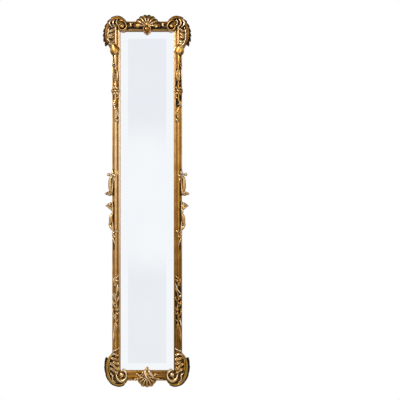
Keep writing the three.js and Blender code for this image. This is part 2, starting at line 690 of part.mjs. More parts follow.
// The petals of a rosette, as strokes on a stile.
function petals(across, down, radius, count, crown) {
  return Array.from({ length: count }, (_, i) => {
    const angle = (2 * Math.PI * (i + 0.5)) / count;
    const at = (share, width, rise) => [
      across + (PETAL_REACH[0] * radius * share * Math.sin(angle)) / STILE_PARTS,
      down + PETAL_REACH[1] * radius * share * Math.cos(angle),
      width * radius,
      rise,
    ];
    return [ROUND, at(0.1, 0.4, crown - 3), at(0.65, 0.75, crown), at(1, 0.25, crown - 6)];
  });
}

// Carving on a stile is drawn in parts: the share of the stile's width from the sight edge, how far down from
// the top of the piece, width and crown. The pieces keep their places along what the corners leave free.
const onStile = (side, top) => ([across, down, width, crown]) => [
  side * (SIGHT_X + across * STILE_WIDTH), (top - down) * PART_DOWN, width * PART, crown * PART_DEEP,
];

// A long leaf beside the reed, a fluted leaf, a rosette, a diagonal leaf and a bud, on a stem down the reed.
function upperCarving(side) {
  return carved(onStile(side, 588), [
    [LEAF, [0.9, 0, 4, 28], [0.8, 24, 7, 33], [0.96, 48, 5, 28]],
    [LEAF, [0.96, 46, 4, 29], [0.78, 38, 7, 35], [0.56, 32, 4, 34]],
    [ROUND, [0.56, 30, 7, 33], [0.52, 66, 8, 34], [0.52, 96, 8, 35]],
    [LEAF, [0.64, 66, 5, 34], [0.7, 84, 9, 37], [0.66, 106, 8, 36]],
    [LEAF, [0.42, 66, 5, 34], [0.38, 84, 9, 37], [0.38, 106, 8, 36]],
    [ROUND, [0.56, 100, 9, 34], [0.55, 144, 10, 35], [0.6, 190, 8, 34]],
    ...petals(0.55, 147, 19, 5, 39),
    [LEAF, [0.5, 180, 5, 34], [0.34, 174, 8, 37], [0.22, 166, 4, 32]],
    [LEAF, [0.66, 184, 6, 34], [0.8, 202, 11, 36], [0.9, 214, 4, 31]],
    [LEAF, [0.8, 202, 5, 33], [0.52, 222, 9, 36], [0.28, 240, 7, 35], [0.22, 252, 4, 31]],
    [ROUND, [0.42, 228, 7, 34], [0.44, 262, 7, 34]],
  ], [[0.53, 149, 6.5, 42], [0.44, 265, 8, 38]]);
}

// Curling leaves and berries on both sides of a wandering stem, then a long tail with a bud.
function lowerCarving(side) {
  const stemAt = (down) => 0.48 + 0.06 * Math.sin((down * Math.PI) / 38);
  const stem = Array.from({ length: 8 }, (_, i) => [stemAt(6 + 26 * i), 6 + 26 * i, 8, 35]);
  return carved(onStile(side, -296), [
    [ROUND, ...stem],
    [LEAF, [0.3, 0, 4, 33], [0.46, 10, 9, 37], [0.62, 4, 4, 33]],
    [LEAF, [0.16, 50, 4, 32], [0.3, 60, 8, 37], [0.46, 74, 6, 35]],
    [LEAF, [0.86, 72, 5, 32], [0.78, 82, 8, 37], [0.52, 98, 6, 35]],
    [LEAF, [0.84, 104, 5, 32], [0.8, 116, 7, 36], [0.52, 128, 5, 34]],
    [LEAF, [0.2, 146, 5, 32], [0.3, 154, 8, 37], [0.5, 150, 5, 35]],
    [LEAF, [0.84, 140, 5, 32], [0.86, 152, 8, 36], [0.54, 168, 5, 34]],
    [LEAF, [0.94, 170, 6, 30], [0.7, 174, 8, 36], [0.4, 164, 4, 34]],
    [LEAF, [0.5, 184, 8, 34], [0.64, 208, 8, 34], [0.76, 228, 8, 34], [0.86, 244, 4, 31]],
    [ROUND, [0.76, 226, 6, 33], [0.78, 252, 9, 36], [0.8, 266, 4, 31]],
  ], [[0.42, 22, 6.5, 39], [0.6, 40, 5.5, 37], [0.62, 112, 4.5, 37], [0.42, 138, 7.5, 39]]);
}

// The upper sprig: a bud on a curved stalk, a berry on the reed, a hanging stem and a leaf that points
// outwards.
function upperSprig(side) {
  return carved(onStile(side, 128), [
    [ROUND, [0.98, 0, 5, 24], [0.88, 20, 8, 30], [0.92, 60, 7, 26], [0.99, 92, 8, 28], [0.95, 106, 5, 24]],
    [ROUND, [0.95, 8, 5, 27], [1.14, 20, 6, 30], [1.36, 24, 6, 28]],
    [ROUND, [0.86, 24, 7, 33], [0.7, 26, 7, 34]],
    [LEAF, [0.92, 26, 6, 31], [1.3, 38, 8, 32], [1.35, 60, 8, 31], [1.3, 80, 8, 31], [1.04, 92, 6, 28]],
    [LEAF, [1.0, 92, 8, 28], [1.2, 98, 14, 33], [1.5, 98, 13, 33], [1.93, 100, 4, 28]],
  ], [[1.46, 22, 6.5, 31], [0.66, 26, 7, 38]]);
}

// The lower sprig: a forked leaf that points outwards, a long curled leaf, berries on the reed and a tail.
function lowerSprig(side) {
  return carved(onStile(side, 0), [
    [ROUND, [0.97, 2, 6, 25], [0.92, 34, 8, 28], [0.96, 74, 7, 27], [0.88, 112, 8, 30], [0.86, 150, 6, 33]],
    [LEAF, [1.0, 8, 6, 28], [1.3, 12, 11, 33], [1.84, 21, 4, 29]],
    [LEAF, [0.94, 37, 6, 28], [1.24, 28, 9, 32], [1.6, 22, 5, 30]],
    [LEAF, [0.98, 50, 6, 29], [1.24, 64, 10, 32], [1.26, 84, 9, 31], [1.5, 97, 3, 27]],
    [LEAF, [1.4, 92, 5, 28], [1.16, 104, 9, 31], [0.98, 116, 7, 31]],
    [ROUND, [0.44, 121, 7, 34], [0.9, 130, 9, 34], [0.68, 142, 7, 34]],
    [LEAF, [0.92, 144, 6, 33], [0.76, 160, 8, 37], [0.58, 180, 5, 33]],
  ], [[0.42, 121, 7, 38], [0.66, 142, 6, 38]]);
}

// ---- Assembly ----

const SIDES = [[-1, 'left'], [1, 'right']];
const ENDS = [[1, 'top'], [-1, 'bottom']];

// Everything that the carving has to clear: the moulding, and the space up to the plate's front.
const seat = join([
  ...SIDES.map(([side]) => stileBar(seatShape(), side, 0)),
  ...ENDS.map(([end]) => railBar(seatShape(), end, 0)),
]).add(solidOf(box(
  new THREE.Vector3(-SIGHT_X - CLEARANCE, -GLASS_FRONT - GLASS_CLEAR, -SIGHT_Z - CLEARANCE),
  new THREE.Vector3(SIGHT_X + CLEARANCE, 1, SIGHT_Z + CLEARANCE),
)));

const panelHoles = panelScrewPlaces().map(([x, z]) => solidOf(panelScrew(x, z, CLEARANCE)));
const kerfs = SIDES.flatMap(([side]) => ENDS.map(([end]) => solidOf(kerf(side, end))));

for (const [side, name] of SIDES) {
  const holes = strapScrewPlaces(side).map(([x, z]) => solidOf(strapScrew(x, z, CLEARANCE)));
  const bar = solidOf(stileBar(mouldingShape(), side, CLEARANCE / 2));
  addPart(`stile_${name}`, cut(bar, [...panelHoles, ...kerfs, ...holes]), GILT_MOULDING);
}
for (const [end, name] of ENDS) {
  const bar = solidOf(railBar(mouldingShape(), end, CLEARANCE / 2));
  addPart(`rail_${name}`, cut(bar, [...panelHoles, ...kerfs]), GILT_MOULDING);
}
for (const [side, sideName] of SIDES) {
  for (const [end, endName] of ENDS) {
    addPart(`mitre_key_${endName}_${sideName}`, featherKey(side, end), HARDWOOD);
    const form = end > 0 ? TOP_SCROLL : BASE_SCROLL;
    addPart(`corner_scroll_${endName}_${sideName}`, cornerScroll(form, side, end), GILT_CARVING);
  }
}

function plateRing(x, z, depth) {
  return [[-x, -z], [x, -z], [x, z], [-x, z]].map(([a, b]) => new THREE.Vector3(a, -depth, b));
}

addPart('mirror_plate', loft([
  plateRing(GLASS_X, GLASS_Z, GLASS_BACK),
  plateRing(GLASS_X, GLASS_Z, GLASS_BACK + GLASS_EDGE),
  plateRing(GLASS_X - BEVEL_WIDTH, GLASS_Z - BEVEL_WIDTH, GLASS_FRONT),
]), SILVERED_GLASS);

const panel = box(
  new THREE.Vector3(-PANEL_X, -PANEL_THICKNESS, -PANEL_Z),
  new THREE.Vector3(PANEL_X, 0, PANEL_Z),
);
addPart('back_panel', cut(solidOf(panel), panelHoles), PLYWOOD);
panelScrewPlaces().forEach(([x, z], i) => addPart(`panel_screw_${i + 1}`, panelScrew(x, z, 0), BRASS));

const stripEnd = GLASS_Z - STRIP_WIDTH - CLEARANCE;
for (const [side, name] of SIDES) {
  const [near, far] = [side * (GLASS_X - STRIP_WIDTH), side * GLASS_X].sort((a, b) => a - b);
  addPart(`setting_strip_${name}`, box(
    new THREE.Vector3(near, -STRIP_DEPTH - STRIP_THICKNESS, -stripEnd),
    new THREE.Vector3(far, -STRIP_DEPTH, stripEnd),
  ), SOFTWOOD);
}
for (const [end, name] of ENDS) {
  const [near, far] = [end * (GLASS_Z - STRIP_WIDTH), end * GLASS_Z].sort((a, b) => a - b);
  addPart(`setting_strip_${name}`, box(
    new THREE.Vector3(-GLASS_X, -STRIP_DEPTH - STRIP_THICKNESS, near),
    new THREE.Vector3(GLASS_X, -STRIP_DEPTH, far),
  ), SOFTWOOD);
}

for (const [side, name] of SIDES) {
  addPart(`hanger_strap_${name}`, strap(side), ZINC_STEEL);
  addPart(`hanger_ring_${name}`, dRing(side), ZINC_STEEL);
  strapScrewPlaces(side).forEach(([x, z], i) => {
    addPart(`hanger_screw_${name}_${i + 1}`, strapScrew(x, z, 0), ZINC_STEEL);
  });
  const pad = new THREE.CylinderGeometry(PAD_RADIUS, PAD_RADIUS, PAD_THICKNESS, 20);
  pad.translate(side * (FRAME_X - PAD_INSET), CLEARANCE + PAD_THICKNESS / 2, -FRAME_Z + PAD_LIFT);
  addPart(`wall_pad_${name}`, pad, FELT);
}

addPart('crest_shell', crestShell(), GILT_CARVING);
addPart('crest_pendant', crestPendant(), GILT_CARVING);
addPart('base_cartouche', baseCartouche(), GILT_CARVING);
for (const [side, name] of SIDES) {
  addPart(`crest_leaf_${name}`, crestLeaf(side), GILT_CARVING);
  addPart(`upper_carving_${name}`, upperCarving(side), GILT_CARVING);
  addPart(`lower_carving_${name}`, lowerCarving(side), GILT_CARVING);
  addPart(`upper_sprig_${name}`, upperSprig(side), GILT_CARVING);
  addPart(`lower_sprig_${name}`, lowerSprig(side), GILT_CARVING);
}

export default parts;
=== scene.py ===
"""Dresses the pier mirror: carved and gilded frame, bevelled plate and the fittings on its back.

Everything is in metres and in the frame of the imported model: X to the right, Z up, the mirror faces -Y.
Carving is worked out in millimetres, as depth in front of the frame's back, and turned to metres once.
"""

from __future__ import annotations

import json
import logging
import math
from dataclasses import dataclass, field
from enum import Enum
from typing import Iterable, Sequence

import bmesh
import bpy
import numpy as np
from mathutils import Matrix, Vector

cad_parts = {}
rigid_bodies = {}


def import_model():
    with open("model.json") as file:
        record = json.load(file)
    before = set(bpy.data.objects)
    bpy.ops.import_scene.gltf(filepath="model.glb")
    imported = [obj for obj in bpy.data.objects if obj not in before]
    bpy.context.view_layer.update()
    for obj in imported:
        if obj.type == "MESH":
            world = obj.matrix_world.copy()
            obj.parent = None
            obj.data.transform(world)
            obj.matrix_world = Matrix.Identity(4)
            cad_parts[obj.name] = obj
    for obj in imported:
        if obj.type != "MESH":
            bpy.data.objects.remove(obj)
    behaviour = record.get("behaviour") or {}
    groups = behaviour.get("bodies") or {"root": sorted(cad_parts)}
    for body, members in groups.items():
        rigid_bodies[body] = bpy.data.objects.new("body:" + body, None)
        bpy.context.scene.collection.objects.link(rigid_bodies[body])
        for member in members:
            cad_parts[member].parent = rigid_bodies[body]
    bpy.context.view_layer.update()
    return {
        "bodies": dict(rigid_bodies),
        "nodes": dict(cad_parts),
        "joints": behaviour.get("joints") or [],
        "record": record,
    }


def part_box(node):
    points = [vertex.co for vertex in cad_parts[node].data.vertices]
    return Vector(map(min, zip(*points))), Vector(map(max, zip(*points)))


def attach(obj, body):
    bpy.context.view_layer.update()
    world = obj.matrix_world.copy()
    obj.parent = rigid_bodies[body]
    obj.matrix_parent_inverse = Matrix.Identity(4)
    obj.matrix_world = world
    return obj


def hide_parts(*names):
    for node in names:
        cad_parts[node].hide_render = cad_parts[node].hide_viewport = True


LOG = logging.getLogger("pier_mirror")

MM = 0.001
FRAME_BODY = "frame"

Stop = tuple[float, ...]  # x, z, width and crown depth of a stroke, in millimetres
Mesh = tuple[np.ndarray, list[tuple[int, ...]]]  # points in millimetres, and faces


class Side(Enum):
    """The two sides of the mirror, as seen from in front."""

    LEFT = -1
    RIGHT = 1

    @property
    def word(self) -> str:
        """The side's name as the model's nodes spell it."""
        return self.name.lower()


class End(Enum):
    """The two ends of the mirror."""

    BOTTOM = -1
    TOP = 1

    @property
    def word(self) -> str:
        """The end's name as the model's nodes spell it."""
        return self.name.lower()


class Tone(Enum):
    """Copies of the gilding for carved pieces, from the palest, a painted highlight, to the darkest two,
    painted shade.
    """

    CREAM = "cream"
    BRIGHT = "bright"
    HONEY = "honey"
    OLIVE = "olive"
    BROWN = "brown"
    DEEP_SHADE = "deep_shade"


def dome(offset: np.ndarray, radius: float) -> np.ndarray:
    """Height of a half-round of this radius at distances from its middle."""
    return np.sqrt(np.maximum(radius**2 - offset**2, 0))


# ---- The frame's sizes ----


@dataclass(frozen=True)
class Moulding:
    """The frame's moulding in section. Distances run outwards from the sight edge, in millimetres."""

    sight_x: float
    sight_z: float
    stile: float
    rail: float
    depth: float
    edge: float = 13.0
    bead: float = 8.0
    groove: float = 4.0
    reed: float = 11.0
    lip: float = 20.0
    glass_front: float = 16.0
    seat: float = 0.35
    nothing: float = -1.0  # depth outside the frame, behind all carving

    @classmethod
    def from_frame(cls) -> Moulding:
        """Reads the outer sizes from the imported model's stiles and rails.

        Returns:
            The moulding with its sight size, widths and depth in millimetres.
        """
        stile_low, stile_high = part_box("stile_right")
        rail_low, rail_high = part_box("rail_top")
        return cls(
            sight_x=stile_low.x / MM,
            sight_z=rail_low.z / MM,
            stile=(stile_high.x - stile_low.x) / MM,
            rail=(rail_high.z - rail_low.z) / MM,
            depth=-stile_low.y / MM,
        )

    @property
    def outer_x(self) -> float:
        """Half the width over the stiles."""
        return self.sight_x + self.stile

    @property
    def outer_z(self) -> float:
        """Half the height over the rails."""
        return self.sight_z + self.rail

    @property
    def mitre(self) -> float:
        """How many times as wide as the stiles the rails are."""
        return self.rail / self.stile

    def face(self, across: np.ndarray) -> np.ndarray:
        """Depth of the moulding's face.

        Args:
            across: Distances from the sight edge, scaled to the stile's width.

        Returns:
            The depth of the face at each of them.
        """
        bead_r, reed_r = self.bead / 2, self.reed / 2
        reed_base = self.depth - reed_r
        reed_start = self.bead + self.groove
        cove_start = reed_start + self.reed
        cove = np.clip((self.stile - across) / (self.stile - cove_start), 0, 1)
        hollow = reed_base - (reed_base - self.edge) * np.sqrt(1 - cove**2)
        return np.select(
            [across < self.bead, across < reed_start, across < cove_start],
            [
                self.lip + dome(across - bead_r, bead_r),
                self.lip + 0 * across,
                reed_base + dome(across - (reed_start + reed_r), reed_r),
            ],
            hollow,
        )

    def ground(self, x: np.ndarray, z: np.ndarray) -> np.ndarray:
        """Depth of whatever lies under a carving: plate, moulding, or nothing outside the frame.

        Args:
            x: Places to the right of the middle.
            z: Places above the middle.

        Returns:
            The depth that a carving has to clear at each place.
        """
        from_stile = np.abs(x) - self.sight_x
        from_rail = (np.abs(z) - self.sight_z) / self.mitre
        across = np.maximum(from_stile, from_rail)
        inside = np.where(across < 0, self.glass_front, self.face(np.clip(across, 0, self.stile)))
        return np.where(across > self.stile + self.seat, self.nothing, inside + self.seat)


# ---- Strokes of a carver's tool ----

CARVING_BACK = 6.0  # mm in front of the frame's back: every stroke starts there
STROKE_STEP = 1.3  # mm from one ring of points to the next along a stroke
STROKE_POINTS = 17  # points from one edge of a stroke to the other
FEWEST_STEPS = 4  # from one stop of a stroke to the next
THINNEST = 0.8  # mm, the least width of a stroke
SWELL = 0.94  # share of a half-round that a section takes up, so that its edges stand
RIBS_EACH_SIDE = 3  # fine ribs between a leaf's vein and its edge
LOBE_SWELL = 1.35  # how much a lobe swells for each part that the cuts beside it go in
LOBE_DIP = 1.6  # mm that the crown sinks between two lobes
BERRY_SIDES = 32
BERRY_RINGS = 10
RIB_DEPTH = 0.1  # of a ribbed berry's radius
HALF_TURN_STEPS = 6  # stops on half a turn of a spiral
SPIRAL_NARROWS = 0.45  # share of its width that a spiral loses on the way to its eye
SPIRAL_RISES = 1.5  # mm that its crown gains on the way


@dataclass(frozen=True)
class Cut:
    """What a tool leaves across a stroke, in shares of its full height and of its half width."""

    foot: float
    swell: float
    groove: float = 0.0
    groove_at: float = 0.0
    groove_width: float = 1.0
    ribs: float = 0.0


class Section(Enum):
    """Cross-sections of a carved stroke."""

    ROUND = Cut(0.35, 0.65)
    LEAF = Cut(0.35, 0.65, groove=0.12, groove_width=0.16, ribs=0.02)
    FLUTE = Cut(0.25, 0.75)
    RIM = Cut(0.62, 0.38, groove=0.1, groove_at=-0.25, groove_width=0.25)

    def height(self, across: np.ndarray) -> np.ndarray:
        """Height of the section.

        Args:
            across: Places from -1 at one edge to 1 at the other.

        Returns:
            The share of the full height at each of them.
        """
        cut = self.value
        groove = cut.groove * np.exp(-(((across - cut.groove_at) / cut.groove_width) ** 2))
        ribs = cut.ribs * (0.5 - 0.5 * np.cos(2 * math.pi * RIBS_EACH_SIDE * np.abs(across)))
        return cut.foot + cut.swell * dome(SWELL * across, 1) - groove - ribs


def smooth_line(stops: Sequence[Stop], per_span: int) -> np.ndarray:
    """Runs a Catmull-Rom line through the stops.

    Args:
        stops: The points and sizes that the line passes through.
        per_span: Steps from one stop to the next.

    Returns:
        One row for each step, with as many columns as a stop has.
    """
    rows = np.array(stops, float)
    ends = np.vstack([2 * rows[0] - rows[1], rows, 2 * rows[-1] - rows[-2]])
    share = np.linspace(0, 1, per_span, endpoint=False)[:, None]
    spans = []
    for a, b, c, d in zip(ends, ends[1:], ends[2:], ends[3:]):
        slope_in, slope_out = (c - a) / 2, (d - b) / 2
        spans.append(
            (2 * share**3 - 3 * share**2 + 1) * b
            + (share**3 - 2 * share**2 + share) * slope_in
            + (3 * share**2 - 2 * share**3) * c
            + (share**3 - share**2) * slope_out
        )
    return np.vstack([*spans, rows[-1:]])


def skin(rings: np.ndarray) -> Mesh:
    """Closes a row of rings of points into one mesh with flat ends.

    Args:
        rings: Ring, point and coordinate.

    Returns:
        A closed mesh in the rings' unit.
    """
    count, sides = rings.shape[:2]
    index = np.arange(count * sides).reshape(count, sides)
    turned = np.roll(index, -1, axis=1)
    quads = np.stack([index[:-1], index[1:], turned[1:], turned[:-1]], axis=2).reshape(-1, 4)
    faces = [tuple(int(i) for i in quad) for quad in quads]
    faces.append(tuple(int(i) for i in index[0]))
    faces.append(tuple(int(i) for i in index[-1][::-1]))
    return rings.reshape(-1, 3), faces


def sweep(
    stops: Sequence[Stop], section: Section = Section.LEAF, lobes: int = 0, bite: float = 0.25
) -> Mesh:
    """Sweeps a carved stroke along a smooth line.

    Args:
        stops: x, z, width and crown depth at points along the stroke.
        section: The stroke's cross-section.
        lobes: How many lobes its edges have.
        bite: How deep the cuts between the lobes go, as a share of its width.

    Returns:
        A closed mesh in millimetres.
    """
    length = float(np.linalg.norm(np.diff(np.array(stops)[:, :2], axis=0), axis=1).sum())
    rows = smooth_line(stops, max(FEWEST_STEPS, int(length / (len(stops) - 1) / STROKE_STEP)))
    middle, width, crown = rows[:, :2], np.maximum(rows[:, 2], THINNEST), rows[:, 3].copy()
    along = np.gradient(middle, axis=0)
    along /= np.maximum(np.linalg.norm(along, axis=1, keepdims=True), 1e-9)
    if lobes:
        wave = np.abs(np.sin(math.pi * lobes * np.linspace(0, 1, len(rows))))
        width = width * (1 - bite + bite * LOBE_SWELL * wave)
        crown -= LOBE_DIP * (1 - wave)
    across = np.linspace(-1, 1, STROKE_POINTS)
    offset = across[None, :] * width[:, None] / 2
    face = np.stack(
        [
            middle[:, :1] - along[:, 1:] * offset,
            -(CARVING_BACK + section.height(across)[None, :] * (crown[:, None] - CARVING_BACK)),
            middle[:, 1:] + along[:, :1] * offset,
        ],
        axis=2,
    )
    floor = face[:, [-1, 0], :].copy()
    floor[:, :, 1] = -CARVING_BACK
    return skin(np.concatenate([face, floor], axis=1))


def berry(x: float, z: float, radius: float, crown: float, ribs: int = 0) -> Mesh:
    """A boss, berry or bud that stands on its back as a dome.

    Args:
        x: Middle, to the right.
        z: Middle, upwards.
        radius: Half its width.
        crown: Depth of its top.
        ribs: How many ribs run over it from its middle.

    Returns:
        A closed mesh in millimetres.
    """
    turns = np.linspace(0, 2 * math.pi, BERRY_SIDES, endpoint=False)
    height = min(radius, crown - CARVING_BACK)
    ripple = 1 + (RIB_DEPTH * np.cos(ribs * turns) if ribs else 0 * turns)
    rings = []
    for angle in np.linspace(0, math.pi / 2, BERRY_RINGS)[:-1]:
        reach = radius * math.cos(angle) * ripple
        depth = np.full_like(turns, -(crown - height + height * math.sin(angle)))
        rings.append(np.stack([x + reach * np.cos(turns), depth, z + reach * np.sin(turns)], axis=1))
    foot = rings[0].copy()
    foot[:, 1] = -CARVING_BACK
    return skin(np.array([foot, *rings]))


def slab(outline: Sequence[Stop], low: float, high: float) -> Mesh:
    """A flat ground for carving.

    Args:
        outline: The points round it.
        low: Depth of its back.
        high: Depth of its face.

    Returns:
        A closed mesh in millimetres.
    """
    flat = np.array([stop[:2] for stop in outline], float)
    return skin(np.array([
        np.stack([flat[:, 0], np.full(len(flat), -depth), flat[:, 1]], axis=1) for depth in (low, high)
    ]))


def spiral(eye: Stop, radius: float, decay: float, turns: float, width: float, crown: float) -> list[Stop]:
    """Stops on a spiral that winds in to its eye.

    Args:
        eye: The middle.
        radius: How far out the first stop is, on the inboard side.
        decay: How fast it winds in.
        turns: How many times it goes round.
        width: The first stop's width.
        crown: The first stop's crown.

    Returns:
        The stops from the outside in.
    """
    count = round(turns * 2 * HALF_TURN_STEPS)
    stops = []
    for i in range(count + 1):
        angle = i * math.pi / HALF_TURN_STEPS
        reach = radius * math.exp(-decay * angle)
        stops.append((
            eye[0] - reach * math.cos(angle),
            eye[1] + reach * math.sin(angle),
            width * (1 - SPIRAL_NARROWS * i / count),
            crown + SPIRAL_RISES * i / count,
        ))
    return stops


# ---- From strokes to a carved piece ----


def new_object(name: str, points: np.ndarray, faces: Iterable[tuple[int, ...]]) -> bpy.types.Object:
    """Makes a linked mesh object.

    Args:
        name: The piece's name.
        points: Its points, in metres.
        faces: The point numbers of each face.

    Returns:
        The object.
    """
    mesh = bpy.data.meshes.new(name)
    mesh.from_pydata(points.tolist(), [], list(faces))
    mesh.update()
    piece = bpy.data.objects.new(name, mesh)
    bpy.context.scene.collection.objects.link(piece)
    return piece


def face_outwards(mesh: bpy.types.Mesh, weld: float = 0.0) -> None:
    """Turns all faces outwards.

    Args:
        mesh: The mesh to change.
        weld: Points that lie closer than this, in metres, are joined first.
    """
    work = bmesh.new()
    work.from_mesh(mesh)
    if weld:
        bmesh.ops.remove_doubles(work, verts=work.verts, dist=weld)
        bmesh.ops.dissolve_degenerate(work, edges=work.edges, dist=weld / 2)
    bmesh.ops.recalc_face_normals(work, faces=work.faces)
    work.to_mesh(mesh)
    work.free()


def relax(points: np.ndarray, edges: np.ndarray, rounds: int, pull: float) -> np.ndarray:
    """Draws each point towards the middle of its neighbours, which takes off the voxels' steps.

    Args:
        points: The mesh's points.
        edges: The two point numbers of each edge.
        rounds: How often this is done.
        pull: How far each point goes, as a share.

    Returns:
        The moved points.
    """
    count = np.bincount(edges.ravel(), minlength=len(points))[:, None]
    for _ in range(rounds):
        total = np.zeros_like(points)
        for column in range(3):
            total[:, column] += np.bincount(edges[:, 0], points[edges[:, 1], column], len(points))
            total[:, column] += np.bincount(edges[:, 1], points[edges[:, 0], column], len(points))
        points = points + pull * (total / np.maximum(count, 1) - points)
    return points


@dataclass
class Carver:
    """Merges strokes into one carved piece and seats it on the moulding. Sizes are in millimetres."""

    moulding: Moulding
    finishes: dict[Tone, bpy.types.Material]
    voxel: float = 0.95
    relax_rounds: int = 4
    relax_pull: float = 0.5
    weld: float = 0.12
    slot: str = "gilt_carving"

    def carve(
        self, name: str, strokes: Sequence[Mesh], node: str, tone: Tone = Tone.BRIGHT
    ) -> bpy.types.Object:
        """Makes one piece of carving.

        Args:
            name: The piece's name.
            strokes: The closed meshes that it is made of, in millimetres.
            node: The model's node that it stands for.
            tone: Which copy of the gilding it takes, from painted highlight to painted shade.

        Returns:
            The finished piece, riding on the frame.
        """
        points, faces, start = [], [], 0
        for stroke_points, stroke_faces in strokes:
            points.append(stroke_points)
            faces.extend(tuple(i + start for i in face) for face in stroke_faces)
            start += len(stroke_points)
        raw = new_object(name + "_raw", np.vstack(points) * MM, faces)
        face_outwards(raw.data)
        remesh = raw.modifiers.new("merge", "REMESH")
        remesh.mode = "VOXEL"
        remesh.voxel_size = self.voxel * MM
        bpy.context.view_layer.update()
        merged = bpy.data.meshes.new_from_object(
            raw.evaluated_get(bpy.context.evaluated_depsgraph_get())
        )
        bpy.data.objects.remove(raw)
        self._seat(merged)
        piece = bpy.data.objects.new(name, merged)
        bpy.context.scene.collection.objects.link(piece)
        merged.materials.clear()
        merged.materials.append(self.finishes[tone])
        merged.shade_smooth()
        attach(piece, FRAME_BODY)
        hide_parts(node)
        LOG.info("%s: %d strokes, %d faces", name, len(strokes), len(merged.polygons))
        return piece

    def _seat(self, mesh: bpy.types.Mesh) -> None:
        """Smooths a merged mesh and lifts what is under the moulding's face on to it.

        Args:
            mesh: The mesh to change, in metres.
        """
        points = np.empty(len(mesh.vertices) * 3)
        mesh.vertices.foreach_get("co", points)
        edges = np.empty(len(mesh.edges) * 2, int)
        mesh.edges.foreach_get("vertices", edges)
        points = relax(points.reshape(-1, 3), edges.reshape(-1, 2), self.relax_rounds, self.relax_pull) / MM
        points[:, 1] = np.minimum(points[:, 1], -self.moulding.ground(points[:, 0], points[:, 2]))
        mesh.vertices.foreach_set("co", (points * MM).ravel())
        mesh.update()
        face_outwards(mesh, weld=self.weld * MM)


# ---- Shader nodes ----


@dataclass(frozen=True)
class Recipe:
    """How a shader node is set up: its type, the sockets that get values, its output and settings."""

    type: str
    sockets: tuple[int | str, ...] = ()
    output: int | str = 0
    settings: tuple[tuple[str, object], ...] = ()


class Kind(Enum):
    """The shader nodes in use."""

    PLACE = Recipe("ShaderNodeTexCoord", output="Object")
    AIM = Recipe("ShaderNodeTexCoord", output="Generated")
    HEIGHT = Recipe("ShaderNodeSeparateXYZ", ("Vector",), "Z")
    PATH = Recipe("ShaderNodeLightPath")
    BEND = Recipe("ShaderNodeNewGeometry", output="Pointiness")
    OPEN_SKY = Recipe("ShaderNodeAmbientOcclusion", ("Distance",), "AO", (("samples", 8),))
    NOISE = Recipe("ShaderNodeTexNoise", ("Vector", "Scale", "Detail"), "Fac")  # detail in octaves
    STRETCH = Recipe("ShaderNodeMapping", ("Vector", "Scale"), "Vector")
    DOT = Recipe("ShaderNodeVectorMath", (0, 1), "Value", (("operation", "DOT_PRODUCT"),))
    ADD = Recipe("ShaderNodeMath", (0, 1), settings=(("operation", "ADD"), ("use_clamp", True)))
    SUBTRACT = Recipe("ShaderNodeMath", (0, 1), settings=(("operation", "SUBTRACT"), ("use_clamp", True)))
    MULTIPLY = Recipe("ShaderNodeMath", (0, 1), settings=(("operation", "MULTIPLY"), ("use_clamp", True)))
    LARGER = Recipe("ShaderNodeMath", (0, 1), settings=(("operation", "MAXIMUM"), ("use_clamp", True)))
    ABSOLUTE = Recipe("ShaderNodeMath", (0,), settings=(("operation", "ABSOLUTE"),))
    RAMP = Recipe(
        "ShaderNodeMapRange",
        ("Value", "From Min", "From Max"),
        "Result",
        (("interpolation_type", "SMOOTHSTEP"),),
    )
    MIX = Recipe("ShaderNodeMix", (0, 6, 7), 2, (("data_type", "RGBA"),))  # share, under, over
    BUMP = Recipe("ShaderNodeBump", ("Height", "Distance", "Strength"), "Normal")
    SURFACE = Recipe(
        "ShaderNodeBsdfPrincipled", ("Base Color", "Roughness", "Metallic", "Normal", "Sheen Weight")
    )
    BACKGROUND = Recipe("ShaderNodeBackground", ("Color", "Strength"))
    MATERIAL_OUTPUT = Recipe("ShaderNodeOutputMaterial", ("Surface",))
    WORLD_OUTPUT = Recipe("ShaderNodeOutputWorld", ("Surface",))


def add_node(
    tree: bpy.types.NodeTree, kind: Kind, *values: object, output: str | None = None
) -> bpy.types.NodeSocket | None:
    """Adds one shader node with its settings and links.

    Args:
        tree: The material's or world's node tree.
        kind: The kind of node.
        *values: What its sockets get, in the order of its recipe: a value, or the socket that feeds it.
        output: The output to go on from, where it isn't the recipe's.

    Returns:
        The node's output, or None for a node that ends the tree.
    """
    recipe = kind.value
    made = tree.nodes.new(recipe.type)
    for name, setting in recipe.settings:
        setattr(made, name, setting)
    for socket, value in zip(recipe.sockets, values):
        if isinstance(value, bpy.types.NodeSocket):
            tree.links.new(value, made.inputs[socket])
        else:
            made.inputs[socket].default_value = value
    return made.outputs[output or recipe.output] if len(made.outputs) else None


def linear(code: str) -> tuple[float, float, float, float]:
    """Turns an sRGB hex colour into the linear RGBA that shaders take."""
    parts = [int(code[i : i + 2], 16) / 255 for i in (1, 3, 5)]
    return (*(c / 12.92 if c <= 0.04045 else ((c + 0.055) / 1.055) ** 2.4 for c in parts), 1.0)


def per_metre(size_mm: float) -> float:
    """Scale of a noise whose patches are about this many millimetres across."""
    return 1 / (size_mm * MM)


def empty_material(name: str) -> tuple[bpy.types.Material, bpy.types.NodeTree]:
    """Makes a material with no nodes in it yet.

    Args:
        name: Its name.

    Returns:
        The material and its node tree.
    """
    material = bpy.data.materials.new(name)
    material.use_nodes = True
    material.node_tree.nodes.clear()
    return material, material.node_tree


# ---- Finishes ----


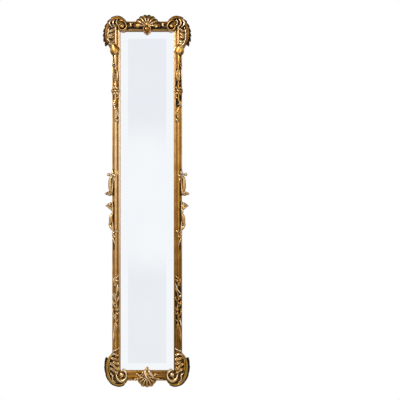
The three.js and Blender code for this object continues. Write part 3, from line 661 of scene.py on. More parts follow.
@dataclass(frozen=True)
class WaterGilding:
    """Gold leaf laid on red bole over gesso, burnished on its crowns, and darkened in its hollows.

    The eye sees warm bright gold where the agate has been, a little red clay where the leaf has worn
    through, and dark brown in the deep cuts and hollows: toning wax in part, and in part painted shade,
    found from how much sky a place sees and how sharp a cut is. What is called bend below is how convex
    the surface is, about 0.5 where it is flat. The crowns are painted paler towards the side that the key
    light comes from, a painted highlight, and the gilding can be darkened towards the other side, a
    painted shade. Both run over the object in metres, so they stay where they are whatever looks at it.
    """

    name: str
    leaf: str = "#AA7824"
    pale_leaf: str = "#D0A050"
    # Pale cream for the crowns: burnish, and painted highlight where it grows towards the lit side.
    burnished: str = "#F8E0B8"
    bole: str = "#A8522A"
    toning_and_shade: str = "#2C1506"
    # The colour of the painted shade that darkens the gilding towards one side.
    smoke: str = "#4A300F"
    roughness: float = 0.2
    patch_mm: float = 14.0  # one leaf of gold lies paler than the next in patches
    leaf_from: float = 0.35
    leaf_to: float = 0.65
    speck_mm: float = 1.6  # rubs and scratches, drawn coarser than life to show
    # How far hollows and cuts are darkened, from the sky that they see and how sharp they are: toning in part,
    # painted shade in part.
    hollow_mm: float = 9.0
    hollow_from: float = 0.74
    hollow_to: float = 0.3
    ragged: float = 0.16  # how much specks break up the edge of the toning
    cut_from: float = 0.492
    cut_to: float = 0.452
    cut_share: float = 0.9
    burnish_low: float = 0.498
    burnish_high: float = 0.54
    wear: float = 0.4
    wear_from: float = 1.0
    wear_to: float = 1.08
    wear_slope: float = 0.8
    speck_from: float = 0.42
    speck_to: float = 0.6
    # Burnish and painted highlight: crowns turn paler towards the upper left, where the key light comes from.
    rub: float = 0.95
    rub_low: float = -3.0
    rub_high: float = 0.9
    rub_across: float = -4.0
    # Painted shade: how much there is, and the direction in metres that it deepens towards, lower right by
    # default.
    smoke_share: float = 0.0
    smoke_aim: Stop = (5.0, 0, -0.8)
    smoke_low: float = 0.2
    smoke_high: float = 1.2
    toning_and_shade_dulls: float = 0.75
    dull_roughness: float = 0.3
    speck_roughness: float = 0.24
    grain_mm: float = 2.2  # brush marks in the gesso
    grain_depth: float = 0.12
    grain_strength: float = 0.6

    def build(self) -> bpy.types.Material:
        """Makes the material.

        Returns:
            The material, which finds its crowns and hollows from the shape that it is put on.
        """
        material, tree = empty_material(self.name)
        place = add_node(tree, Kind.PLACE)
        bend = add_node(tree, Kind.BEND)
        patches = add_node(tree, Kind.NOISE, place, per_metre(self.patch_mm), 3.0)
        specks = add_node(tree, Kind.NOISE, place, per_metre(self.speck_mm), 4.0)
        crown = add_node(tree, Kind.RAMP, bend, self.burnish_low, self.burnish_high)
        # The share darkened in hollows and cuts: toning and painted shade.
        toned = self._toned(tree, bend, specks)
        worn = self._worn(tree, crown, patches, specks)
        colour = self._gold(tree, place, patches, crown)
        colour = add_node(tree, Kind.MIX, worn, colour, linear(self.bole))
        colour = add_node(tree, Kind.MIX, toned, colour, linear(self.toning_and_shade))
        dull = add_node(
            tree, Kind.LARGER, worn, add_node(tree, Kind.MULTIPLY, toned, self.toning_and_shade_dulls)
        )
        metal = add_node(tree, Kind.SUBTRACT, 1.0, dull)
        rough = add_node(
            tree,
            Kind.ADD,
            add_node(tree, Kind.MULTIPLY, dull, self.dull_roughness),
            add_node(tree, Kind.MULTIPLY, specks, self.speck_roughness),
        )
        rough = add_node(tree, Kind.ADD, rough, self.roughness)
        grain = add_node(tree, Kind.NOISE, place, per_metre(self.grain_mm), 3.0)
        bump = add_node(tree, Kind.BUMP, grain, self.grain_depth * MM, self.grain_strength)
        shader = add_node(tree, Kind.SURFACE, colour, rough, metal, bump)
        add_node(tree, Kind.MATERIAL_OUTPUT, shader)
        return material

    def _toned(
        self, tree: bpy.types.NodeTree, bend: bpy.types.NodeSocket, specks: bpy.types.NodeSocket
    ) -> bpy.types.NodeSocket:
        """Where the gilding is darkened, by toning wax in part and by painted shade in part: in hollows that
        see little sky, and along sharp cuts.

        Args:
            tree: The material's node tree.
            bend: How convex the surface is.
            specks: Fine noise.

        Returns:
            The share of toning and painted shade.
        """
        sky = add_node(tree, Kind.OPEN_SKY, self.hollow_mm * MM)
        open_sky = add_node(tree, Kind.ADD, sky, add_node(tree, Kind.MULTIPLY, specks, self.ragged))
        middle = self.ragged / 2
        hollow = add_node(tree, Kind.RAMP, open_sky, self.hollow_from + middle, self.hollow_to + middle)
        cut = add_node(tree, Kind.RAMP, bend, self.cut_from, self.cut_to)
        return add_node(tree, Kind.LARGER, hollow, add_node(tree, Kind.MULTIPLY, cut, self.cut_share))

    def _worn(
        self,
        tree: bpy.types.NodeTree,
        crown: bpy.types.NodeSocket,
        patches: bpy.types.NodeSocket,
        specks: bpy.types.NodeSocket,
    ) -> bpy.types.NodeSocket:
        """Where the leaf has worn through to the bole: on crowns, in patches and specks.

        Args:
            tree: The material's node tree.
            crown: The share of crown.
            patches: Broad noise.
            specks: Fine noise.

        Returns:
            The share of bole.
        """
        in_patches = add_node(
            tree, Kind.RAMP, patches, self.wear_from - self.wear, self.wear_to - self.wear * self.wear_slope
        )
        in_specks = add_node(tree, Kind.RAMP, specks, self.speck_from, self.speck_to)
        worn = add_node(tree, Kind.MULTIPLY, crown, in_patches)
        return add_node(tree, Kind.MULTIPLY, worn, in_specks)

    def _gold(
        self,
        tree: bpy.types.NodeTree,
        place: bpy.types.NodeSocket,
        patches: bpy.types.NodeSocket,
        crown: bpy.types.NodeSocket,
    ) -> bpy.types.NodeSocket:
        """The gold's colour: leaf in two shades, paler on its crowns towards the lit side, as burnish and
        painted highlight, and darker towards the other side as painted shade.

        Args:
            tree: The material's node tree.
            place: The place on the object.
            patches: Broad noise.
            crown: The share of crown.

        Returns:
            The colour.
        """
        paler = add_node(tree, Kind.RAMP, patches, self.leaf_from, self.leaf_to)
        colour = add_node(tree, Kind.MIX, paler, linear(self.leaf), linear(self.pale_leaf))
        # Burnish on the crowns that grows towards the upper left: painted highlight where the key light falls.
        rise = add_node(tree, Kind.DOT, place, (self.rub_across, 0, 1))
        reach = add_node(tree, Kind.RAMP, rise, self.rub_low, self.rub_high)
        rubbed = add_node(tree, Kind.MULTIPLY, add_node(tree, Kind.MULTIPLY, crown, reach), self.rub)
        colour = add_node(tree, Kind.MIX, rubbed, colour, linear(self.burnished))
        if not self.smoke_share:
            return colour
        # Painted shade, deepening away from the key light.
        away_from_light = add_node(tree, Kind.DOT, place, self.smoke_aim)
        in_shade = add_node(tree, Kind.RAMP, away_from_light, self.smoke_low, self.smoke_high)
        shaded = add_node(tree, Kind.MULTIPLY, in_shade, self.smoke_share)
        return add_node(tree, Kind.MIX, shaded, colour, linear(self.smoke))


@dataclass(frozen=True)
class SilveredPlate:
    """Float glass, ground and polished on its bevel and silvered behind: a clean, cool mirror.

    Age shows as a faint cloudiness, far too slight to hide the image.
    """

    name: str = "silvered_float_glass"
    silver: str = "#FAFCFD"
    clouded: str = "#F8FAFC"
    roughness: float = 0.012
    cloud_mm: float = 180.0
    cloud_from: float = 0.3
    cloud_to: float = 0.7

    def build(self) -> bpy.types.Material:
        """Makes the material.

        Returns:
            The material.
        """
        material, tree = empty_material(self.name)
        haze = add_node(tree, Kind.NOISE, add_node(tree, Kind.PLACE), per_metre(self.cloud_mm), 3.0)
        clouds = add_node(tree, Kind.RAMP, haze, self.cloud_from, self.cloud_to)
        colour = add_node(tree, Kind.MIX, clouds, linear(self.silver), linear(self.clouded))
        shader = add_node(tree, Kind.SURFACE, colour, self.roughness, 1.0)
        add_node(tree, Kind.MATERIAL_OUTPUT, shader)
        return material


@dataclass(frozen=True)
class Timber:
    """Sawn or planed wood with its grain along one axis, waxed or washed or left bare.

    Rings show as soft streaks along the grain, with fine pores between.
    """

    name: str
    pale: str
    dark: str
    grain_mm: float
    along: Stop  # the grain's axis is the one that is scaled down
    roughness: float = 0.7
    ring_from: float = 0.38
    ring_to: float = 0.66
    pores_per_ring: int = 7
    pore_share: float = 0.25
    pore_depth: float = 0.1
    pore_strength: float = 0.5
    pore_roughness: float = 0.12

    def build(self) -> bpy.types.Material:
        """Makes the material.

        Returns:
            The material.
        """
        material, tree = empty_material(self.name)
        grain = add_node(tree, Kind.STRETCH, add_node(tree, Kind.PLACE), self.along)
        rings = add_node(tree, Kind.NOISE, grain, per_metre(self.grain_mm), 5.0)
        pores = add_node(tree, Kind.NOISE, grain, per_metre(self.grain_mm / self.pores_per_ring), 2.0)
        streaks = add_node(tree, Kind.RAMP, rings, self.ring_from, self.ring_to)
        share = add_node(tree, Kind.ADD, streaks, add_node(tree, Kind.MULTIPLY, pores, self.pore_share))
        colour = add_node(tree, Kind.MIX, share, linear(self.pale), linear(self.dark))
        bump = add_node(tree, Kind.BUMP, pores, self.pore_depth * MM, self.pore_strength)
        worn = add_node(tree, Kind.MULTIPLY, pores, self.pore_roughness)
        rough = add_node(tree, Kind.ADD, self.roughness, worn)
        shader = add_node(tree, Kind.SURFACE, colour, rough, 0.0, bump)
        add_node(tree, Kind.MATERIAL_OUTPUT, shader)
        return material


@dataclass(frozen=True)
class PlainMetal:
    """Drawn or pressed metal hardware: its plating clouds a little and is scuffed by handling."""

    name: str
    bright: str
    dull: str
    mark_mm: float
    roughness: float
    cloud_from: float = 0.4
    cloud_to: float = 0.65
    scuffs_per_mark: int = 4
    scuff_stretch: Stop = (1, 1, 6)
    scuff_roughness: float = 0.25

    def build(self) -> bpy.types.Material:
        """Makes the material.

        Returns:
            The material.
        """
        material, tree = empty_material(self.name)
        place = add_node(tree, Kind.PLACE)
        clouds = add_node(tree, Kind.NOISE, place, per_metre(self.mark_mm), 3.0)
        drawn = add_node(tree, Kind.STRETCH, place, self.scuff_stretch)
        scuffs = add_node(tree, Kind.NOISE, drawn, per_metre(self.mark_mm / self.scuffs_per_mark), 4.0)
        clouded = add_node(tree, Kind.RAMP, clouds, self.cloud_from, self.cloud_to)
        colour = add_node(tree, Kind.MIX, clouded, linear(self.bright), linear(self.dull))
        scuffed = add_node(tree, Kind.MULTIPLY, scuffs, self.scuff_roughness)
        rough = add_node(tree, Kind.ADD, self.roughness, scuffed)
        shader = add_node(tree, Kind.SURFACE, colour, rough, 1.0)
        add_node(tree, Kind.MATERIAL_OUTPUT, shader)
        return material


@dataclass(frozen=True)
class PressedFelt:
    """Wool felt, pressed into a pad: matt, with short stray fibres.

    The fibres are finer in life, and are drawn at half a millimetre to show.
    """

    name: str = "pressed_wool_felt"
    wool: str = "#4C463F"
    stray: str = "#6E665C"
    fibre_mm: float = 0.5
    stray_from: float = 0.4
    stray_to: float = 0.7
    fibre_depth: float = 0.3
    fibre_strength: float = 0.8
    roughness: float = 0.95
    sheen: float = 0.3

    def build(self) -> bpy.types.Material:
        """Makes the material.

        Returns:
            The material.
        """
        material, tree = empty_material(self.name)
        fibres = add_node(tree, Kind.NOISE, add_node(tree, Kind.PLACE), per_metre(self.fibre_mm), 6.0)
        strays = add_node(tree, Kind.RAMP, fibres, self.stray_from, self.stray_to)
        colour = add_node(tree, Kind.MIX, strays, linear(self.wool), linear(self.stray))
        bump = add_node(tree, Kind.BUMP, fibres, self.fibre_depth * MM, self.fibre_strength)
        shader = add_node(tree, Kind.SURFACE, colour, self.roughness, 0.0, bump, self.sheen)
        add_node(tree, Kind.MATERIAL_OUTPUT, shader)
        return material


@dataclass
class Finishes:
    """One of each finish, made once."""

    # The full burnish, and the lit copy of the gilding beside the darker ones: the eye goes to these leaves
    # first.
    carving: bpy.types.Material = field(default_factory=WaterGilding("burnished_water_gilding").build)
    # Rubbed flat along its length, so it shines in long lines, with painted highlight towards the upper left
    # and painted shade towards the lower right.
    moulding: bpy.types.Material = field(
        default_factory=WaterGilding(
            "rubbed_water_gilding",
            leaf="#AC7826",
            pale_leaf="#C89648",
            burnished="#F4DDB6",
            toning_and_shade="#A87630",
            burnish_low=0.497,
            burnish_high=0.515,
            hollow_mm=5.0,
            hollow_from=0.6,
            hollow_to=0.1,
            # Painted highlight towards the upper left.
            rub=0.8,
            rub_low=-0.4,
            rub_high=0.75,
            rub_across=-2.6,
            # Painted shade towards the lower right.
            smoke_share=0.75,
            patch_mm=30.0,
        ).build
    )
    # A dull, deep gold that sets the shell off: painted shade on the top rail, which lies in shadow under the
    # crest, and darkest round the carving.
    top_rail: bpy.types.Material = field(
        default_factory=WaterGilding(
            "shaded_water_gilding",
            leaf="#8A6228",
            pale_leaf="#A87E40",
            burnished="#E2C496",
            toning_and_shade="#2A1606",
            # A wide reach for the darkening, so the rail is painted darker round the carving: painted shade.
            hollow_mm=16.0,
            hollow_from=0.86,
            hollow_to=0.4,
            patch_mm=30.0,
        ).build
    )
    # Pale cream: painted highlight, for strokes placed where highlights fall.
    cream: bpy.types.Material = field(
        default_factory=WaterGilding(
            "cream_rubbed_gilding",
            leaf="#D0A254",
            pale_leaf="#EACA90",
            burnished="#FFF1D8",
            toning_and_shade="#3A2010",
            wear=0.15,
            rub=1.0,
            rub_low=-4.0,
            rub_high=-1.0,
            roughness=0.16,
        ).build
    )
    # An orange gold of middle brightness, dimmer than the full burnish. On the right stile it is painted shade:
    # the shaded copy of the bright gilding.
    honey: bpy.types.Material = field(
        default_factory=WaterGilding(
            "honey_water_gilding",
            leaf="#966018",
            pale_leaf="#BC8834",
            burnished="#E2BA78",
            toning_and_shade="#2A1506",
        ).build
    )
    # A cooler, greyer gold, for the rims, grounds and inner leaves of the bottom corners.
    olive: bpy.types.Material = field(
        default_factory=WaterGilding(
            "olive_water_gilding",
            leaf="#8C641C",
            pale_leaf="#B28A34",
            burnished="#D6AC5E",
            toning_and_shade="#36240E",
            patch_mm=22.0,
        ).build
    )
    # A brown gold with soft edges of light: painted half shade, a darker copy of the gilding for the top
    # corners' rims and grounds and the left stile's grounds.
    rim: bpy.types.Material = field(
        default_factory=WaterGilding(
            "half_shade_gilding",
            leaf="#704A12",
            pale_leaf="#986E20",
            burnished="#BA8840",
            toning_and_shade="#241206",
            wear=0.6,
            roughness=0.26,
        ).build
    )
    # Almost black: deep painted shade, for the flanges and the grounds behind the carving, which lets the
    # carving before it stand out.
    flange: bpy.types.Material = field(
        default_factory=WaterGilding(
            "deep_shade_gilding",
            leaf="#1E1208",
            pale_leaf="#3C2712",
            burnished="#4C3418",
            toning_and_shade="#1E0E04",
            hollow_from=0.95,
            hollow_to=0.4,
            wear=0.2,
            roughness=0.34,
        ).build
    )
    plate: bpy.types.Material = field(default_factory=SilveredPlate().build)
    # Pine under a thin ochre wash: a matt yellow brown in which the grain still shows, upright here.
    carcass: bpy.types.Material = field(
        default_factory=Timber("ochre_washed_pine", "#C79A55", "#9A6C33", 9.0, (1, 1, 0.06)).build
    )
    # The same with its grain along the rails.
    cross_carcass: bpy.types.Material = field(
        default_factory=Timber("ochre_washed_pine_rail", "#C79A55", "#9A6C33", 9.0, (0.06, 1, 1)).build
    )
    # Rotary-cut birch: pale, with wide faint figure.
    plywood: bpy.types.Material = field(
        default_factory=Timber("birch_plywood", "#C9A677", "#A98356", 14.0, (1, 1, 0.08), 0.75).build
    )
    # Sawn spruce: pale and rough.
    softwood: bpy.types.Material = field(
        default_factory=Timber("sawn_spruce", "#D2B384", "#B08D5C", 6.0, (1, 1, 0.1), 0.8).build
    )
    # Sawn beech: pinkish brown with a close grain.
    hardwood: bpy.types.Material = field(
        default_factory=Timber("sawn_beech", "#A06C44", "#7C4D2C", 3.0, (1, 1, 0.2)).build
    )
    # Zinc plate: a cold, softly clouded grey.
    steel: bpy.types.Material = field(
        default_factory=PlainMetal("zinc_plated_steel", "#B4B6B2", "#8E918F", 5.0, 0.28).build
    )
    # Brass wire, headed and slotted: yellow, dulled by handling.
    brass: bpy.types.Material = field(
        default_factory=PlainMetal("drawn_brass", "#C7A558", "#A3823F", 4.0, 0.25).build
    )
    felt: bpy.types.Material = field(default_factory=PressedFelt().build)

    def by_tone(self) -> dict[Tone, bpy.types.Material]:
        """The gilding for each tone of a carved piece.

        Returns:
            The material that each tone is carved in.
        """
        return {
            Tone.CREAM: self.cream,
            Tone.BRIGHT: self.carving,
            Tone.HONEY: self.honey,
            Tone.OLIVE: self.olive,
            Tone.BROWN: self.rim,
            Tone.DEEP_SHADE: self.flange,
        }


def dress(piece: bpy.types.Object, finish: bpy.types.Material, slot: str) -> None:
    """Gives a node of the model its finish.

    Args:
        piece: The node's object.
        finish: Its material.
        slot: The record's slot for it; not used.
    """
    piece.data.materials.clear()
    piece.data.materials.append(finish)


# ---- Gilded moulding ----


def crowded(start: float, width: float, count: int) -> np.ndarray:
    """Places across a half-round that crowd towards its two edges, where it is steep."""
    return start + width * (0.5 - 0.5 * np.cos(np.linspace(0.02, math.pi - 0.02, count)))


@dataclass
class GiltFace:
    """The layer of gesso and leaf over the wooden moulding, one piece for each side of the frame.

    Sizes are in millimetres.
    """

    moulding: Moulding
    finish: bpy.types.Material
    shaded_finish: bpy.types.Material
    thickness: float = 0.3
    clear: float = 0.04  # between the layer and the wood at its two turned-down edges
    lip_turn: float = 1.5
    skirt: float = 1.5
    gap: float = 0.1  # between the last point of one form and the first of the next
    fine_gap: float = 0.02  # at the outer edge
    bead_points: int = 22
    reed_points: int = 30
    cove_points: int = 18
    ring_pitch: float = 6.0
    fewest_rings: int = 8
    ripple: float = 0.12  # height of the waves that scraping by hand leaves in gesso
    wave_rates: tuple[float, float] = (7.3, 2.1)
    wave_length: float = 60.0

    def _section(self) -> np.ndarray:
        """Outline of the layer in section.

        Returns:
            Distance from the sight edge and depth of each point round it.
        """
        m = self.moulding
        reed_start = m.bead + m.groove
        cove_start = reed_start + m.reed
        stops = np.concatenate([
            crowded(0, m.bead, self.bead_points),
            [m.bead + self.gap, reed_start - self.gap],
            crowded(reed_start, m.reed, self.reed_points),
            np.linspace(cove_start + self.gap, m.stile - self.fine_gap, self.cove_points),
        ])
        face = np.stack([stops, m.face(stops)], axis=1)
        low, high = -self.thickness, m.stile + self.thickness
        top = np.vstack([
            [low, m.lip - self.lip_turn],
            [low, m.lip],
            face + [0, self.thickness],
            [high, m.edge],
            [high, self.skirt],
        ])
        under = np.vstack([
            [0.0, m.lip - self.lip_turn], [0.0, m.lip], face, [m.stile, m.edge], [m.stile, self.skirt]
        ])
        near = self.fine_gap / 2
        at_edge, at_sight = under[:, :1] > m.stile - near, under[:, :1] < near
        under = under + [self.clear, 0] * at_edge - [self.clear, 0] * at_sight
        return np.vstack([top, under[::-1]])

    def _ring(self, section: np.ndarray, share: float, where: Side | End) -> np.ndarray:
        """Places the section on one side of the frame.

        Args:
            section: Distance from the sight edge and depth of each point.
            share: How far along the side, from -1 to 1.
            where: The stile's side or the rail's end.

        Returns:
            The points in millimetres.
        """
        m = self.moulding
        out, depth = section.T
        if isinstance(where, Side):
            x, z = where.value * (m.sight_x + out), share * (m.sight_z + out * m.mitre)
        else:
            x, z = share * (m.sight_x + out), where.value * (m.sight_z + out * m.mitre)
        return np.stack([x, -depth, z], axis=1)

    def _bar(self, node: str, where: Side | End, length: float) -> None:
        """Lofts one side of the layer between its mitres.

        Args:
            node: The model's node under it.
            where: The stile's side or the rail's end.
            length: Half the side's sight length.
        """
        section = self._section()
        above_lip = section[:, 1] > self.moulding.lip
        fast, slow = self.wave_rates
        rings = []
        for share in np.linspace(-1, 1, max(self.fewest_rings, int(2 * length / self.ring_pitch))):
            wave = self.ripple * math.sin(fast * share * length / self.wave_length)
            wave *= math.sin(slow * share * length / self.wave_length)
            rippled = np.stack([section[:, 0], section[:, 1] + wave * above_lip], axis=1)
            rings.append(self._ring(rippled, share, where))
        points, faces = skin(np.array(rings))
        piece = new_object(f"gilt_face_{node}", points * MM, faces)
        face_outwards(piece.data)
        # The top rail takes the darker copy of the gilding: painted shade.
        piece.data.materials.append(self.shaded_finish if where is End.TOP else self.finish)
        piece.data.shade_smooth()
        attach(piece, FRAME_BODY)
        LOG.info("gilt_face_%s: gilded face, %d faces", node, len(piece.data.polygons))

    def build(self) -> None:
        """Makes the four sides."""
        for side in Side:
            self._bar(f"stile_{side.word}", side, self.moulding.sight_z)
        for end in End:
            self._bar(f"rail_{end.word}", end, self.moulding.sight_x)


# ---- Carving ----


@dataclass(frozen=True)
class Flange:
    """The toothed flange behind a rim: where it runs, how far it reaches and how its teeth are cut."""

    first: float
    last: float
    narrow: float
    wide: float
    teeth: int
    bite: float
    hook: float


@dataclass(frozen=True)
class ScrollForm:
    """A corner scroll as drawn from the frame's outer corner: outwards, along the stile, width and crown."""

    rim: tuple[Stop, ...]
    eye: Stop
    flange: Flange
    leaves: tuple[tuple[Stop, ...], ...]
    volute: tuple[Stop, ...]
    accents: tuple[tuple[Stop, ...], ...]
    inner_leaf: tuple[Stop, ...]
    inner_tones: dict[Side, Tone]
    leaf_tone: Tone
    rim_tone: Tone
    bay_tone: Tone
    volute_tone: Tone
    cup: tuple[Stop, ...] = ()


TOP_EYE = (-39.5, 22, 7, 45.6)
TOP_FORM = ScrollForm(
    rim=(
        (-21, 127, 7, 30), (-9, 125, 8, 30), (1, 116, 9, 31), (6, 103, 10, 32), (13, 89, 11, 34),
        (20, 72, 12, 36),
        (22, 54, 13, 36), (21, 36, 13, 36), (15, 17, 13, 37), (4, 0, 14, 40), (-12, -12, 15, 42),
        (-29, -13, 15, 44), (-44, -5, 13, 44), (-55, 6, 11, 44),
    ),
    eye=TOP_EYE,
    flange=Flange(first=10.4, last=3.9, narrow=11, wide=18.4, teeth=7, bite=0.44, hook=3),
    accents=(
        ((1, -6, 6, 41), (9, 6, 10, 45.6), (6, 18, 10, 45.6), (-4, 27, 6, 41)),
        ((7, 100, 6, 37), (-3, 103, 9, 43), (-13, 100, 6, 38)),
    ),
    leaves=(
        ((-11, -7, 7, 43), (-5, 3, 11, 45.6), (-6, 15, 11, 45), (-15, 25, 6, 41)),
        ((-23, -6, 6, 44), (-18, 3, 8, 46), (-19, 12, 8, 45), (-25, 19, 5, 42)),
        ((-10, 29, 8, 37), (-2, 38, 16, 43), (11, 42, 14, 42), (18, 34, 6, 38)),
        ((-9, 48, 9, 37), (1, 55, 18, 43), (14, 57, 12, 41), (19, 49, 6, 38)),
        ((15, 61, 6, 38), (4, 67, 14, 43), (-9, 62, 8, 38)),
        ((19, 71, 7, 39), (9, 81, 14, 42), (-2, 84, 11, 41), (-11, 78, 5, 37)),
        ((12, 90, 7, 38), (2, 94, 13, 42), (-12, 90, 8, 38)),
    ),
    inner_leaf=(
        (9, 26, 5, 41), (14, 42, 7, 43), (15, 58, 8, 43),
        (13, 74, 8, 43), (8, 89, 7, 42), (0, 101, 5, 40),
    ),
    # The right corner's inner leaf is gilded pale cream: painted highlight, where light catches that side.
    inner_tones={Side.LEFT: Tone.BRIGHT, Side.RIGHT: Tone.CREAM},
    leaf_tone=Tone.BRIGHT,
    rim_tone=Tone.BROWN,
    bay_tone=Tone.BROWN,
    volute_tone=Tone.HONEY,
    cup=(
        (0, 88, 12, 36), (-5, 98, 26, 40), (-9, 108, 36, 42.5), (-12, 118, 41, 43), (-15, 127, 37, 42.5),
        (-17, 132, 28, 40.5),
    ),
    volute=(
        (-30, -2, 6, 42), (-42, 0, 9, 45), (-53, 8, 10, 45.5), *spiral(TOP_EYE, 18.5, 0.15, 1.15, 10, 45),
    ),
)
BASE_FORM = ScrollForm(
    rim=(
        (-23, 122, 6, 31), (-8, 113, 8, 34), (4, 101, 9, 37), (12, 88, 11, 39), (17, 70, 12, 40),
        (18, 52, 12, 41),
        (16, 33, 13, 41), (11, 15, 13, 42), (1, -1, 12, 42), (-12, -11, 10, 42), (-28, -15, 9, 42),
        (-43, -12, 8, 41), (-55, -4, 7, 40), (-61, 6, 5, 39),
    ),
    eye=(-39.5, 26.5, 9.8, 45.4),
    flange=Flange(first=11.3, last=3, narrow=10, wide=15.3, teeth=5, bite=0.2, hook=1),
    accents=(
        ((-3, 117, 6, 37), (-14, 124, 9, 43), (-27, 131, 6, 37)),
        ((2, 103, 6, 39), (-9, 109, 9, 44), (-25, 101, 6, 39)),
        ((5, 34, 6, 41), (-3, 22, 9, 44.6), (-3, 6, 8, 44), (-13, -4, 6, 42)),
    ),
    leaves=(
        ((-30, 6, 9, 38), (-36, 16, 11, 36.5), (-40, 27, 9, 36.5)),
        ((3, 104, 9, 38), (-9, 109, 15, 43), (-25, 102, 9, 38)),
        ((8, 93, 10, 38), (-6, 91, 19, 43), (-26, 84, 12, 38)),
        ((-3, 79, 12, 38), (-16, 72, 19, 42), (-26, 65, 11, 38)),
        ((12, 72, 10, 39), (1, 68, 19, 43), (-13, 58, 12, 40)),
        ((-8, 58, 12, 38), (-18, 51, 18, 42), (-26, 43, 10, 38)),
        ((10, 51, 10, 39), (-2, 47, 19, 43), (-14, 37, 11, 40)),
        ((-10, 40, 10, 38), (-19, 35, 14, 42), (-26, 27, 9, 38)),
        ((6, 34, 9, 40), (-3, 22, 14, 44), (-3, 4, 11, 43), (-15, -6, 7, 41)),
    ),
    inner_leaf=(
        (-3, 106, 7, 39), (6, 94, 9, 41), (11, 76, 10, 42),
        (11, 58, 10, 42), (9, 42, 8, 42), (4, 26, 6, 41),
    ),
    inner_tones={Side.LEFT: Tone.OLIVE, Side.RIGHT: Tone.OLIVE},
    leaf_tone=Tone.BRIGHT,
    rim_tone=Tone.OLIVE,
    bay_tone=Tone.OLIVE,
    # The bottom volutes are gilded pale cream: painted highlight.
    volute_tone=Tone.CREAM,
    volute=(
        (-17, 30, 6, 40), (-20, 16, 14, 43.5), (-27, 5, 20, 45), (-40, 1, 21, 45.8), (-52, 8, 16, 45),
        (-58, 20, 10, 44.5), (-56, 32, 8, 43.5), (-48, 40, 6, 42.5), (-38, 42, 4, 41.5),
    ),
)


HAND_SEED = 11
VARIES = 0.6  # mm that a leaf's place may be off the drawing
LOOSENESS = (1, 1, 0.8, 0.4)  # how freely its place, width and crown vary, against one another


def varied(stops: Sequence[Stop], hand: np.random.Generator) -> list[Stop]:
    """Moves stops and sizes a little, as no two leaves by hand are alike.

    Args:
        stops: The leaf as drawn.
        hand: The carver's hand on this corner.

    Returns:
        The leaf as carved.
    """
    return [tuple(np.array(stop) + hand.uniform(-VARIES, VARIES, len(stop)) * LOOSENESS) for stop in stops]


